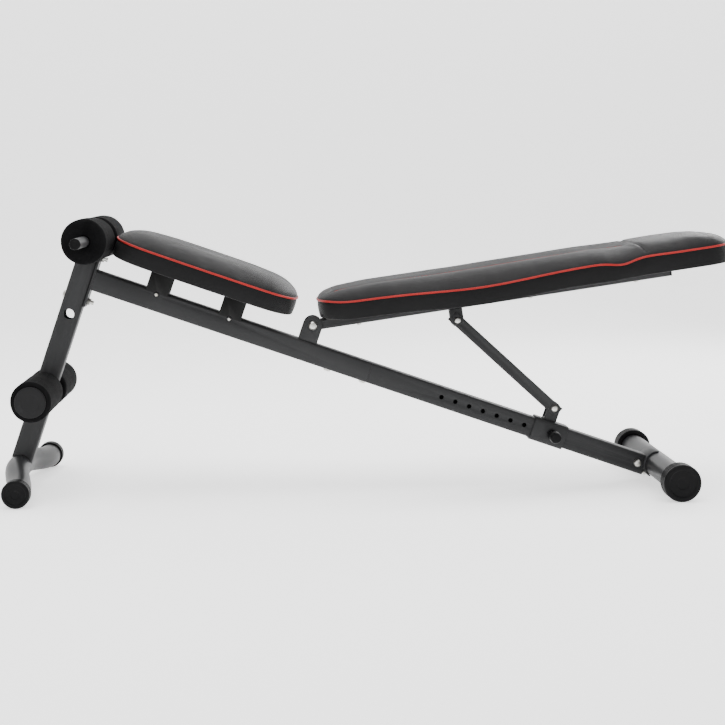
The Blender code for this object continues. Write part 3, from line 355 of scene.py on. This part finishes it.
# %% Bevelled steel from the CAD nodes
def dressed(node, material, edge=0.0004, sharp=50):
    source = frame["nodes"][node]
    mesh = source.data.copy()
    mesh.name = node + "_dressed"
    weld(mesh, 1e-5)
    mesh.shade_smooth()
    mesh.set_sharp_from_angle(angle=math.radians(sharp))
    mesh.materials.clear()
    mesh.materials.append(material)
    piece = bpy.data.objects.new(node + "_dressed", mesh)
    bpy.context.collection.objects.link(piece)
    rounding = piece.modifiers.new("edge", "BEVEL")
    rounding.width = edge
    rounding.segments = 2
    rounding.limit_method = "ANGLE"
    rounding.angle_limit = math.radians(sharp)
    rounding.harden_normals = True
    return hand_over(piece, body_of_node[node], (node,))


for node in ("front_post", "beam_end_plate", "front_beam", "rear_beam", "beam_joiner", "rear_saddle",
             "hinge_bracket", "back_rail", "strut_tab", "strut", "adjuster_sleeve", "sleeve_clevis"):
    dressed(node, GRAPHITE)
for node in ("seat_support_front", "seat_support_rear"):
    dressed(node, BLACK_PAINT)
for node in ("post_top_plug", "rail_end_plug"):
    dressed(node, BLACK_PLASTIC)
for node in ("seat_board", "back_board"):
    dressed(node, PLYWOOD)
bolts = [node for node, slot in slot_of_node.items() if slot == "zinc" and node != "pop_pin_plunger"]
for node in bolts:
    dressed(node, ZINC, 0.0002)
frame["nodes"]["pop_pin_spring"].data.materials.clear()
frame["nodes"]["pop_pin_spring"].data.materials.append(SPRING_STEEL)
print("dressed", len(bolts), "bolts, screws and pins")

# %% [markdown]
# Tubes, caps, foam rolls and the knob are all turned shapes: an outline carried round an axis. Each
# outline is a short list of corners, and every corner is eased into an arc before it is turned.

# %% Turned shapes
def eased(corners, radius, steps=5):
    """Cuts each inner corner of an outline short and fills the cut with a parabola's arc.

    The arc runs from a to b past the corner c as (1-t)^2 a + 2t(1-t) c + t^2 b.
    """
    corners = np.array(corners, float)
    rows = [corners[:1]]
    share = np.linspace(0, 1, steps)[:, None]
    for before, corner, after in zip(corners, corners[1:], corners[2:]):
        back, ahead = before - corner, after - corner
        reach = min(radius, np.linalg.norm(back) * 0.45, np.linalg.norm(ahead) * 0.45)
        start = corner + back / np.linalg.norm(back) * reach
        end = corner + ahead / np.linalg.norm(ahead) * reach
        rows.append((1 - share) ** 2 * start + 2 * share * (1 - share) * corner + share ** 2 * end)
    rows.append(corners[-1:])
    return np.concatenate(rows)


def turned(outline, centre, side=1, sides=72, shape=None):
    """Carries (across, radius) points round an axis across the bench.

    shape(angle, across) gives a factor on the radius, for lobes or dents.
    """
    angle = np.linspace(0, 2 * np.pi, sides, endpoint=False)[None, :]
    across, radius = outline[:, 0:1], outline[:, 1:2]
    radius = radius * (shape(angle, across) if shape else 1.0)
    return np.stack([centre[0] + radius * np.cos(angle),
                     centre[1] + side * across + 0 * angle,
                     centre[2] + radius * np.sin(angle)], axis=-1)


print("turning helpers ready")

# %% [markdown]
# The rear foot is a straight tube. The front foot is bent: its ends sweep back and down. Both shine
# more than the rest of the frame, so they need many sides to keep their reflections smooth.

# %% Foot tubes
def tube_along(path, radius, sides=64, wall=0.002):
    """A round tube round a path: at each point, a circle square to the way the path runs."""
    heading = np.gradient(path, axis=0)
    heading /= np.linalg.norm(heading, axis=1, keepdims=True)
    level = np.cross((0.0, 0.0, 1.0), heading)
    level /= np.linalg.norm(level, axis=1, keepdims=True)
    upright = np.cross(heading, level)
    angle = np.linspace(0, 2 * np.pi, sides, endpoint=False)[None, :, None]
    circle = np.cos(angle) * level[:, None] + np.sin(angle) * upright[:, None]
    outer = path[:, None] + radius * circle
    inner = path[:, None] + (radius - wall) * circle
    return np.concatenate([outer, inner[::-1]])


cap_low, cap_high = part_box("front_foot_cap_right")
foot_low, foot_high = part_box("front_foot")
FRONT_TUBE_RADIUS = 0.0225
end_x, end_z = (cap_low.x + cap_high.x) / 2, (cap_low.z + cap_high.z) / 2
middle_x = foot_low.x + FRONT_TUBE_RADIUS
middle_z = foot_high.z - FRONT_TUBE_RADIUS
half_foot = foot_high.y
across = np.linspace(-half_foot, half_foot, 97)
travel = np.clip((abs(across) / half_foot - 0.12) / 0.78, 0, 1)
bend = travel ** 2 * (3 - 2 * travel)
path = np.stack([middle_x + (end_x - middle_x) * bend, across, middle_z + (end_z - middle_z) * bend],
                axis=1)
surface("front_foot_tube", tube_along(path, FRONT_TUBE_RADIUS), GLOSS_GRAPHITE, "frame", ("front_foot",),
        wrap_rows=True)

rear = middle("rear_foot")
half_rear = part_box("rear_foot")[1].y
REAR_TUBE_RADIUS = 0.025
path = np.stack([np.full(9, rear.x), np.linspace(-half_rear, half_rear, 9), np.full(9, rear.z)], axis=1)
surface("rear_foot_tube", tube_along(path, REAR_TUBE_RADIUS), GLOSS_GRAPHITE, "frame", ("rear_foot",),
        wrap_rows=True)
print("foot tubes", round(2 * half_foot, 3), "and", round(2 * half_rear, 3), "m wide")

# %% [markdown]
# Each foot tube ends in a moulded cup. Its face has a raised rim round a shallow dish, and its side
# has grip ribs. The outline runs from the middle of the face round the rim and back inside the cup.

# %% Foot caps
GAP = 0.0003


def foot_cap(node, tube_radius, ribs):
    low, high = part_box(node)
    centre = (low + high) / 2
    side = 1 if centre.y > 0 else -1
    length = high.y - low.y
    radius = (high.x - low.x) / 2
    inside = tube_radius + GAP
    corners = [(0.0, 0.0), (0.0, radius * 0.30), (0.0008, radius * 0.34), (0.0008, radius * 0.70),
               (0.0024, radius * 0.76), (0.0024, radius * 0.93), (-0.0008, radius)]
    across = np.linspace(-0.0042, -length + 0.004, 4 * ribs + 1)
    groove = 0.0007 * (np.arange(len(across)) % 4 == 2)
    corners += [(place, radius - cut) for place, cut in zip(across, groove)]
    corners += [(-length + 0.0016, radius * 0.985), (-length + 0.0016, inside), (-0.0052, inside),
                (-0.0052, 0.0)]
    outline = eased(corners, 0.0012)
    start = centre + Vector((0, side * (length / 2 - 0.0024), 0))
    surface(node + "_moulded", turned(outline, start, side, 96), BLACK_PLASTIC, "frame", (node,))


for word in ("left", "right"):
    foot_cap("front_foot_cap_" + word, FRONT_TUBE_RADIUS, 3)
    foot_cap("rear_foot_cap_" + word, REAR_TUBE_RADIUS, 5)
print("four foot caps")

# %% [markdown]
# A leg roller is a bar through the post with a foam roll on each side. Foam is never a perfect
# cylinder: its ends are rounded, its face sinks in towards the bar, and its skin is slightly uneven.

# %% Leg rollers
def uneven(seed, amount):
    """A factor near 1: a sum of slow waves round and along the roll, the same on every run."""
    phase = np.random.default_rng(seed).uniform(0, 2 * np.pi, 6)
    return lambda angle, across: (1 + amount * (np.sin(2 * angle + phase[0] + 30 * across)
                                                + 0.6 * np.sin(3 * angle + phase[1] - 55 * across)
                                                + 0.5 * np.sin(5 * angle + phase[2] + 90 * across)
                                                + 0.5 * np.sin(130 * across + phase[3])) / 2)


def foam_roll(node, axis, radius, bar, seed):
    low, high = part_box(node)
    side = 1 if low.y > 0 else -1
    start, end = sorted((abs(low.y), abs(high.y)))
    corners = [(start, bar), (start, radius * 0.88), (start + 0.004, radius)]
    corners += [(place, radius) for place in np.linspace(start + 0.015, end - 0.015, 14)]
    corners += [(end - 0.004, radius), (end, radius * 0.88), (end + 0.0005, radius * 0.55),
                (end - 0.0015, bar + 0.004), (end - 0.004, bar)]
    corners += [(start + 0.003, bar)]
    outline = eased(corners, 0.006, 7)
    centre = Vector((axis.x, 0, axis.z))
    roll = turned(outline, centre, side, 96)
    worn = uneven(seed, 0.010)
    angle = np.linspace(0, 2 * np.pi, 96, endpoint=False)[None, :]
    share = np.clip((outline[:, 1:2] - bar) / (radius - bar), 0, 1)
    factor = 1 + (worn(angle, outline[:, 0:1]) - 1.012) * share
    roll[..., 0] = centre.x + (roll[..., 0] - centre.x) * factor
    roll[..., 2] = centre.z + (roll[..., 2] - centre.z) * factor
    piece = surface(node + "_roll", roll, FOAM, body_of_node[node], (node,), wrap_rows=True)
    return piece


def bar(node, axis, radius, wall):
    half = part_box(node)[1].y
    outline = eased([(-half, radius - wall), (-half, radius), (half, radius), (half, radius - wall)],
                    0.0004)
    outline = np.concatenate([outline, [[0.0, radius - wall]]])
    surface(node + "_tube", turned(outline, Vector((axis.x, 0, axis.z))), GRAPHITE,
            body_of_node[node], (node,), wrap_rows=True)


def stopper(node, axis, face_radius, inner_radius, material):
    low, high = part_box(node)
    side = 1 if low.y > 0 else -1
    start, end = sorted((abs(low.y), abs(high.y)))
    seat = start + 0.0123
    corners = [(start, 0), (start, inner_radius), (seat, inner_radius), (seat, face_radius),
               (end - 0.0008, face_radius * 0.99), (end, face_radius * 0.90), (end, face_radius * 0.60),
               (end - 0.0004, face_radius * 0.54), (end - 0.0004, 0)]
    outline = eased(corners, 0.0012)
    surface(node + "_moulded", turned(outline, Vector((axis.x, 0, axis.z)), side), material,
            body_of_node[node], (node,))


BAR_RADIUS = 0.010
BAR_WALL = 0.0015
lower_roller = Vector(joints["lower_roller_spin"]["pos_m"])
rollers = (("upper", upper_roller, 0.042, 0.010, BLACK_PLASTIC, (3, 4)),
           ("lower", lower_roller, 0.038, 0.029, GREY_PLASTIC, (5, 6)))
for word, axis, foam_size, face, finish, seeds in rollers:
    bar(word + "_roller_bar", axis, BAR_RADIUS, BAR_WALL)
    for seed, end in zip(seeds, ("left", "right")):
        foam_roll("%s_foam_%s" % (word, end), axis, foam_size, BAR_RADIUS + GAP, seed)
        stopper("%s_roller_plug_%s" % (word, end), axis, face, BAR_RADIUS - BAR_WALL - GAP, finish)
print("two rollers with foam and stoppers")

# %% [markdown]
# The pull pin has a barrel with a hexagon foot, a plunger and a knob with six soft lobes, which give
# the fingers something to hold. The lobes are a cosine of the angle, faded out towards both ends.

# %% Pull pin
pin = middle("pop_pin_plunger")
pin_axis = Vector((pin.x, 0, pin.z))
knob_low, knob_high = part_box("pop_pin_knob")
knob_radius = (knob_high.x - knob_low.x) / 2
knob_start, knob_end = -knob_high.y, -knob_low.y


def lobes(angle, across):
    from_front = np.clip((across - knob_start - 0.008) / 0.006, 0, 1)
    window = from_front * np.clip((knob_end - across) / 0.004, 0, 1)
    return 1 - 0.05 * window * (1 - np.cos(6 * angle)) / 2


PLUNGER_RADIUS = 0.004
KNOB_BORE_DEPTH = 0.0176
knob_bore = PLUNGER_RADIUS + GAP
corners = [(knob_start + KNOB_BORE_DEPTH, 0), (knob_start + KNOB_BORE_DEPTH, knob_bore),
           (knob_start, knob_bore), (knob_start, knob_radius * 0.72),
           (knob_start + 0.006, knob_radius * 0.74), (knob_start + 0.011, knob_radius),
           (knob_end - 0.004, knob_radius), (knob_end, knob_radius * 0.80), (knob_end, 0)]
surface("pull_knob", turned(eased(corners, 0.0028, 8), pin_axis, -1, 96, lobes), BLACK_PLASTIC,
        "pop_pin", ("pop_pin_knob",))
low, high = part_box("pop_pin_plunger")
corners = [(-high.y, 0), (-high.y, PLUNGER_RADIUS * 0.85), (-high.y + 0.0008, PLUNGER_RADIUS),
           (-low.y, PLUNGER_RADIUS), (-low.y, 0)]
surface("pull_plunger", turned(eased(corners, 0.0006), pin_axis, -1, 40), ZINC, "pop_pin",
        ("pop_pin_plunger",))
dressed("pop_pin_barrel", BLACK_PLASTIC, 0.0004)
print("pull pin at", [round(value, 3) for value in pin])

# %% [markdown]
# ## Upholstered pads
# A pad is a board with foam on it and a cover pulled over both. Seen from above it has a rounded
# outline. Its side is an upright band, piping runs round the top of the band, and above the piping
# the cover crowns: it climbs steeply from the seam and levels off in the middle.

# %% Pad outline
def end_round(distance, radius, power=2.6):
    """Share of full width near a rounded end: 1 - (1 - d/r)^p, to the power 1/p."""
    inside = np.clip(1 - distance / radius, 0, 1)
    return (1 - inside ** power) ** (1 / power)


def glide(low, high, value):
    travel = np.clip((value - low) / (high - low), 0, 1)
    return travel ** 2 * (3 - 2 * travel)


def outline_of(length, half_width, front, rear, count):
    """Points at even spacing round the pad, from its front end up the right side and back."""
    along = length * (1 - np.cos(np.linspace(0, np.pi, 1200))) / 2
    width = half_width(along) * end_round(along, front) * end_round(length - along, rear)
    side = np.stack([along, width], axis=1)
    loop = np.concatenate([side, (side * (1, -1))[-2:0:-1], side[:1]])
    distance = np.concatenate([[0], np.cumsum(np.linalg.norm(np.diff(loop, axis=0), axis=1))])
    even = np.linspace(0, distance[-1], count, endpoint=False)
    return np.stack([np.interp(even, distance, loop[:, axis]) for axis in (0, 1)], axis=1)


SHOULDER = 0.085
print("outline helper ready")

# %% [markdown]
# The cover is one skin of rings. Going out from the middle of the top, the rings grow until they
# reach the piping, run down the band, turn under the edge and climb into the pocket that the board
# fills. A ring's points lie on lines from a spine in the pad's middle to its outline.

# %% Pad cover
def pad_cover(outline, length, crown, band, board, droop, seam_line, seams, seed):
    """Points[ring, round] of a cover. Each ring is spine + (outline - spine) * share.

    droop lowers the underside's edge, seam_line lowers the piping. The crown's height depends on the
    distance from the edge, d: crown * (1 - (1 - d / shoulder)^3.2)^0.62.
    """
    inset_ends = 0.28 * length
    middle_line = np.clip(outline[:, 0], inset_ends, length - inset_ends)
    spine = np.stack([middle_line, 0 * middle_line], axis=1)
    reach = np.linalg.norm(outline - spine, axis=1)
    to_edge = np.linspace(1, 0, 64) ** 1.35
    top = 1 - to_edge
    share = [top[:, None] * np.ones_like(reach)]
    inward = np.clip(to_edge[:, None] * reach[None, :] / SHOULDER, 0, 1)
    rise = (1 - (1 - inward) ** 3.2) ** 0.62
    flatness = 0.90 + 0.10 * to_edge[:, None]
    height = [band + crown * rise * flatness]
    climb = np.linspace(0.06, 0.94, 14)
    bulge = 0.0016 * np.sin(np.pi * climb) - 0.0008
    share.append(1 + bulge[:, None] / reach)
    height.append((band * (1 - climb))[:, None] * np.ones_like(reach))
    for inset, up in ((0.0010, 0.0008), (0.0030, 0.0002), (0.0074, 0.0002), (0.0074, board * 0.5),
                      (0.0080, board + 0.0004), (0.0300, board + 0.0006)):
        share.append(1 - inset / reach[None, :])
        height.append(np.full((1, len(reach)), up))
    share.append(np.zeros((1, len(reach))))
    height.append(np.full((1, len(reach)), board + 0.0006))
    share, height = np.concatenate(share), np.concatenate(height)
    flat = spine[None] + (outline - spine)[None] * share[..., None]
    along, across = flat[..., 0], flat[..., 1]
    on_top = (np.arange(len(share)) < len(top))[:, None]
    near_edge = np.clip(share, 0, 1) ** 2
    up_band = np.clip(height / band, 0, 1)
    height = height + near_edge * (droop(along) + (seam_line(along) - droop(along)) * up_band)
    height = height - on_top * seams(along, across)
    return np.stack([along, across, height + on_top * wrinkles(along, across, share, seed)], axis=-1)


def wrinkles(along, across, share, seed):
    """Small puckers that start at the piping and fade inwards, on top of a slow unevenness."""
    phase = np.random.default_rng(seed).uniform(0, 2 * np.pi, 5)
    edge = np.clip((share - 0.55) / 0.42, 0, 1) * np.clip((1.0 - share) / 0.04, 0, 1)
    angle = np.arctan2(across, 0.05)
    pucker = (np.sin(95 * along + 4 * angle + phase[0])
              + 0.7 * np.sin(171 * along - 6 * angle + phase[1])
              + 0.5 * np.sin(263 * along + 9 * across + phase[2]))
    slow = np.sin(21 * along + phase[3]) * np.cos(24 * across + phase[4])
    return 0.00034 * edge * pucker + 0.0006 * slow * np.clip(1 - share, 0, 1)


print("cover helper ready")

# %% [markdown]
# Cloth simulation makes the cover sit like something stuffed. The skin is pinned at the piping and
# below it, air pressure pushes the top out, and each point may move less than two millimetres.

# %% Puff up a cover
AIR_PRESSURE = 2.5
LARGEST_MOVE = 0.0018
SETTLING_FRAMES = 20


def puff(piece, pinned, pressure, cap):
    """Runs Cloth on the piece and keeps the result, with each point's move capped."""
    mesh = piece.data
    before = np.empty(len(mesh.vertices) * 3)
    mesh.vertices.foreach_get("co", before)
    before = before.reshape(-1, 3)
    group = piece.vertex_groups.new(name="pinned")
    group.add([int(number) for number in np.nonzero(pinned(before))[0]], 1.0, "REPLACE")
    cloth = piece.modifiers.new("cloth", "CLOTH")
    cloth.settings.effector_weights.gravity = 0
    cloth.settings.use_pressure = True
    cloth.settings.uniform_pressure_force = pressure
    cloth.settings.vertex_group_mass = "pinned"
    cloth.settings.quality = 5
    cloth.settings.tension_stiffness = 30
    cloth.settings.compression_stiffness = 20
    cloth.settings.bending_stiffness = 8.0
    cloth.collision_settings.use_collision = False
    scene = bpy.context.scene
    for number in range(1, SETTLING_FRAMES + 1):
        scene.frame_set(number)
    solved = piece.evaluated_get(bpy.context.evaluated_depsgraph_get())
    after = np.empty(len(before) * 3)
    solved.data.vertices.foreach_get("co", after)
    move = after.reshape(-1, 3) - before
    size = np.linalg.norm(move, axis=1, keepdims=True)
    move = np.where(np.isfinite(move), move, 0) * np.minimum(1, cap / np.maximum(size, 1e-9))
    piece.modifiers.remove(cloth)
    scene.frame_set(1)
    mesh.vertices.foreach_set("co", (before + move).ravel())
    mesh.update()
    print(piece.name, "moved up to", round(1000 * float(np.linalg.norm(move, axis=1).max()), 2), "mm")


# %% [markdown]
# Piping is a cord wrapped in a strip of vinyl and sewn into the seam, so it is a round tube that
# follows the outline at the top of the band. A line of stitches lies along a sewn channel.

# %% Piping and stitched lines
def loop_tube(points, radius, closed=True, sides=14):
    """A round tube round a path, closed into a ring or ended in a point at each end."""
    heading = (np.roll(points, -1, axis=0) - np.roll(points, 1, axis=0)) if closed \
        else np.gradient(points, axis=0)
    heading /= np.linalg.norm(heading, axis=1, keepdims=True)
    upward = np.array((0.0, 0.0, 1.0))
    level = np.cross(heading, upward)
    level /= np.linalg.norm(level, axis=1, keepdims=True)
    lift = np.cross(level, heading)
    angle = np.linspace(0, 2 * np.pi, sides, endpoint=False)[None, :, None]
    rings = points[:, None] + radius * (np.cos(angle) * level[:, None] + np.sin(angle) * lift[:, None])
    if closed:
        return rings
    ends = [np.repeat(points[end][None, None], sides, axis=1) for end in (0, -1)]
    return np.concatenate([ends[0], rings, ends[1]])


def piping(name, axes, outline, band, seam_line, body, radius=0.0019):
    lifted = band + seam_line(outline[:, 0]) + 0.0004
    grown = np.stack([outline[:, 0], outline[:, 1], lifted], axis=1)
    ring = axes.place(loop_tube(grown, radius))
    return surface(name, ring, PIPING_RED, body, slot="vinyl", wrap_rows=True)


def paint_side_shade(piece, axes, band, seam_line):
    """Faces below the piping take a darker copy of the leatherette: painted shade on the pads' sides."""
    mesh = piece.data
    mesh.materials.append(PAD_SIDE_PAINTED_SHADE)
    centres = np.empty(len(mesh.polygons) * 3)
    mesh.polygons.foreach_get("center", centres)
    offset = centres.reshape(-1, 3) - axes.origin
    height = offset @ axes.up - seam_line(offset @ axes.along)
    mesh.polygons.foreach_set("material_index", (height < band).astype(np.int32))


print("piping helper ready")

# %% [markdown]
# ### Seat
# The seat is short and nearly square, fullest in the middle, with one plain crowned top.

# %% Make the seat
def pad_axes(axes, board, cushion):
    low, high = axes.span(cushion)
    base = axes.span(board)[0][2]
    start = axes.place((low[0], 0, base))
    return Axes(start, axes.along), high[0] - low[0], high[1] - low[1], high[2] - base


def level_edge(along):
    return 0 * along


def no_seams(along, across):
    return 0 * along


BAND = 0.033
BOARD = 0.0103
SEAT_ROUNDS = (0.085, 0.075)
SEAT_CROWN = 0.006
seat, seat_length, seat_width, seat_thickness = pad_axes(beam, "seat_board", "seat_cushion")


def seat_half_width(along):
    return seat_width / 2 * (1 - 0.10 * (2 * along / seat_length - 1) ** 2)


seat_outline = outline_of(seat_length, seat_half_width, *SEAT_ROUNDS, 288)
cover = pad_cover(seat_outline, seat_length, seat_thickness + SEAT_CROWN - BAND, BAND, BOARD, level_edge,
                  level_edge, no_seams, 5)
seat_cover = surface("seat_upholstery", seat.place(cover), PAD_TOP, "frame", ("seat_cushion",),
                     sharp=70)


def seat_pins(points):
    return (points - seat.origin) @ seat.up < BAND + 0.0015


puff(seat_cover, seat_pins, AIR_PRESSURE, LARGEST_MOVE)
paint_side_shade(seat_cover, seat, BAND, level_edge)
piping("seat_piping", seat, seat_outline, BAND, level_edge, "frame")
print("seat", round(seat_length, 3), "by", round(seat_width, 3), "m")

# %% [markdown]
# ### Back rest
# The back pad widens to the shoulders and steps in to a narrower head part. Two sewn lines run up
# the body, and a curved seam divides it from the head part. The cover sinks along each of them.

# %% Leatherette with a matte panel
def panelled_leatherette(axes, first, last, half_width):
    """Leatherette with a lighter, matte panel between the two sewn lines."""
    recipe = Recipe("back_top_leatherette")
    place = recipe.here()
    reach = {"operation": "DOT_PRODUCT"}
    along = recipe.node("ShaderNodeVectorMath", reach, {0: place, 1: tuple(axes.along)}, "Value")
    across = recipe.node("ShaderNodeVectorMath", reach, {0: place, 1: (0.0, 1.0, 0.0)}, "Value")
    across = recipe.node("ShaderNodeMath", {"operation": "ABSOLUTE"}, {0: across})
    start = float(axes.origin @ axes.along)
    panel = (recipe.steps(along, start + first, start + first + 0.002)
             * (1 - recipe.steps(along, start + last - 0.002, start + last))
             * (1 - recipe.steps(across, half_width - 0.0008, half_width)))
    pebble = recipe.steps(recipe.cells(820.0, "DISTANCE_TO_EDGE"), 0.0, 0.16)
    weave = recipe.steps(recipe.cells(1500.0), 0.15, 0.60)
    rub = recipe.steps(recipe.noise(7.0, 3.0), 0.35, 0.70)
    plain = recipe.mix(pebble * 0.5 + rub * 0.3, (0.008, 0.0075, 0.008), (0.014, 0.0135, 0.014))
    matte = recipe.mix(weave * 0.6 + rub * 0.3, (0.022, 0.022, 0.0225), (0.052, 0.052, 0.053))
    creases = recipe.bump(recipe.noise(60.0, 5.0, 0.6), 0.0009, 0.35)
    relief = recipe.bump(pebble * (1 - panel) + weave * panel, 0.00025, 0.65, creases)
    rough = (0.68 - pebble * 0.18 - rub * 0.07) * (1 - panel) + (0.78 - rub * 0.08) * panel
    return recipe.finish(Base_Color=recipe.mix(panel, plain, matte), Roughness=rough, Normal=relief,
                         Specular_IOR_Level=0.16)


# %% [markdown]
# The back rest follows the same steps as the seat. What differs is its outline and the way its edge
# hangs: the body sags a little between its ends, and the piping dips again where the head part begins.

# %% Make the back rest
back, back_length, back_width, back_thickness = pad_axes(rail, "back_board", "back_cushion")
WAIST = 0.600
END_WIDTH = 0.236
BACK_ROUNDS = (0.095, 0.060)
BACK_CROWN = 0.003
LINE_ACROSS = 0.065
BACK_TOP = panelled_leatherette(back, 0.030, 0.606, LINE_ACROSS)
HEAD_SEAM = 0.611


def back_half_width(along):
    """Half width at each place: wider towards the shoulders, then in again at the waist."""
    body = END_WIDTH + (back_width - END_WIDTH) * glide(0.0, back_length * 0.45, along)
    return (body + (END_WIDTH - body) * glide(WAIST - 0.060, WAIST + 0.030, along)) / 2


def bell(value, centre, width):
    return np.exp(-((value - centre) / width) ** 2)


def edge_droop(along):
    """The pad's edge hangs lower along the middle of its body than at its ends."""
    return (0.005 * bell(along, 0.0, 0.035) - 0.0088 * bell(along, 0.310, 0.130)
            - 0.0025 * glide(0.45, 0.55, along))


def piping_line(along):
    """The piping follows the edge, then dips once more where the pad steps in to the head part."""
    return (0.006 * bell(along, 0.0, 0.035) - 0.0090 * bell(along, 0.310, 0.130)
            - 0.0075 * bell(along, 0.576, 0.030) - 0.0012 * glide(0.62, 0.70, along))


def head_seam(across):
    """Where the head seam crosses: it runs straight over the middle and bends back at the sides."""
    return HEAD_SEAM + 0.018 * (across / 0.118) ** 2


def back_seams(along, across):
    """Depth of the sewn channels: a bell-shaped dip round each line."""
    line = np.exp(-((abs(across) - LINE_ACROSS) / 0.0032) ** 2)
    line = line * glide(0.020, 0.040, along) * (1 - glide(0.590, 0.600, along))
    seam = np.exp(-((along - head_seam(across)) / 0.0040) ** 2) * (abs(across) < 0.112)
    return np.maximum(0.0018 * line, 0.0028 * seam)


back_outline = outline_of(back_length, back_half_width, *BACK_ROUNDS, 560)
cover = pad_cover(back_outline, back_length, back_thickness + BACK_CROWN - BAND, BAND, BOARD, edge_droop,
                  piping_line, back_seams, 11)
back_cover = surface("back_upholstery", back.place(cover), BACK_TOP, "back", ("back_cushion",),
                     sharp=70)


def back_pins(points):
    offset = points - back.origin
    along, across, up = offset @ back.along, offset @ back.across, offset @ back.up
    return (up < BAND + piping_line(along) + 0.0015) | (back_seams(along, across) > 0.0007)


puff(back_cover, back_pins, AIR_PRESSURE, LARGEST_MOVE)
paint_side_shade(back_cover, back, BAND, piping_line)
piping("back_piping", back, back_outline, BAND, piping_line, "back")
print("back rest", round(back_length, 3), "by", round(back_width, 3), "m")

# %% [markdown]
# The thread in a sewn line dips into the cover and comes out again. Each line is a thin tube laid on
# the cover, and its height follows the cover below it, found by casting a ray down onto the pad.

# %% Stitched lines
def laid_on(piece, axes, along, across, lift):
    """Points on the piece's top under each (along, across), raised by lift."""
    places = []
    for start in axes.place(np.stack([along, across, np.full_like(along, 0.12)], axis=1)):
        hit, place, _, _ = piece.ray_cast(Vector(start), Vector(-axes.up), distance=0.2)
        places.append(np.array(place if hit else start))
    offset = np.array(places) - axes.origin
    return np.stack([along, across, offset @ axes.up + lift], axis=1)


bpy.context.view_layer.update()
along = np.linspace(0.034, 0.590, 260)
for word, sign in (("left", -1), ("right", 1)):
    line = laid_on(back_cover, back, along, np.full_like(along, sign * LINE_ACROSS), 0.0001)
    line[:, 2] += 0.00035 * np.sin(2 * np.pi * along / 0.0075)
    surface("stitch_line_" + word, back.place(loop_tube(line, 0.0008, False, 8)), THREAD, "back",
            slot="vinyl")
# Along the head seam, a thin dark tube of the side leatherette lies in the channel: painted shadow in
# the seam's groove, not a cord.
across = np.linspace(-0.104, 0.104, 120)
line = laid_on(back_cover, back, head_seam(across), across, 0.0002)
surface("head_seam_painted_shadow", back.place(loop_tube(line, 0.0008, False, 8)), PAD_SIDE_PAINTED_SHADE, "back", slot="vinyl")
print("three sewn lines")

# %% [markdown]
# ## Studio
# The floor is one pale sheet that curves up far behind the bench, as in a product studio, so there is
# no line where floor and wall meet. Large soft lamps give the broad highlights on the pads.

# %% Floor sweep
def sweep_sheet(half_width, front, wall, radius, top):
    """Flat floor, a quarter circle and an upright wall, carried across the studio."""
    turn = np.linspace(0, np.pi / 2, 24)
    depth = np.concatenate([[front], wall + radius * np.sin(turn), [wall + radius]])
    height = np.concatenate([[0], radius * (1 - np.cos(turn)), [top]])
    sides = np.array((-half_width, half_width))
    return np.stack([np.broadcast_to(sides[None], (len(depth), 2)),
                     np.broadcast_to(depth[:, None], (len(depth), 2)),
                     np.broadcast_to(height[:, None], (len(depth), 2))], axis=-1)


points = sweep_sheet(9.0, -7.0, 3.0, 1.5, 6.0)
rows = len(points)
number = np.arange(rows * 2).reshape(rows, 2)
quads = np.stack([number[:-1, 0], number[:-1, 1], number[1:, 1], number[1:, 0]], axis=-1)
mesh = bpy.data.meshes.new("studio_floor")
mesh.from_pydata(points.reshape(-1, 3).tolist(), [], quads.tolist())
mesh.shade_smooth()
floor_recipe = Recipe("pale_floor")
mesh.materials.append(floor_recipe.finish(Base_Color=(0.93, 0.93, 0.93), Roughness=0.9,
                                          Specular_IOR_Level=0.1, Emission_Color=(1.0, 1.0, 1.0),
                                          Emission_Strength=1.0))
floor = bpy.data.objects.new("studio_floor", mesh)
bpy.context.collection.objects.link(floor)
print("floor sweep", rows, "rows")

# %% [markdown]
# Three large area lamps stand in for softboxes: one overhead, a weak key from the front left and one
# behind that draws a rim of light. The white sky fills the shadows.

# %% Lamps, sky and camera
def lamp(name, place, target, size, power):
    light = bpy.data.lights.new(name, "AREA")
    light.shape = "RECTANGLE"
    light.size, light.size_y = size
    light.energy = power
    made = bpy.data.objects.new(name, light)
    made.location = place
    made.rotation_euler = (Vector(target) - Vector(place)).to_track_quat("-Z", "Y").to_euler()
    bpy.context.collection.objects.link(made)


lamp("overhead", (0.0, 0.1, 2.6), (0, 0, 0.3), (3.2, 2.0), 95)
lamp("key", (-1.6, -2.6, 1.9), (0, 0, 0.3), (1.6, 1.2), 28)
lamp("rim", (1.8, 2.2, 1.6), (0, 0, 0.35), (1.6, 1.0), 45)
world = bpy.data.worlds.new("studio")
world.use_nodes = True
world.node_tree.nodes["Background"].inputs["Color"].default_value = (1, 1, 1, 1)
world.node_tree.nodes["Background"].inputs["Strength"].default_value = 0.85
bpy.context.scene.world = world

lens = bpy.data.cameras.new("camera")
lens.lens = 77.6
camera = bpy.data.objects.new("camera", lens)
camera.location = (-0.1567, -3.036, 0.586)
camera.rotation_euler = (math.radians(90 - 6.515), 0, math.radians(-2.820))
bpy.context.collection.objects.link(camera)
bpy.context.scene.camera = camera
print("camera", round((camera.location - Vector((0, 0, 0.25))).length, 2), "m away")
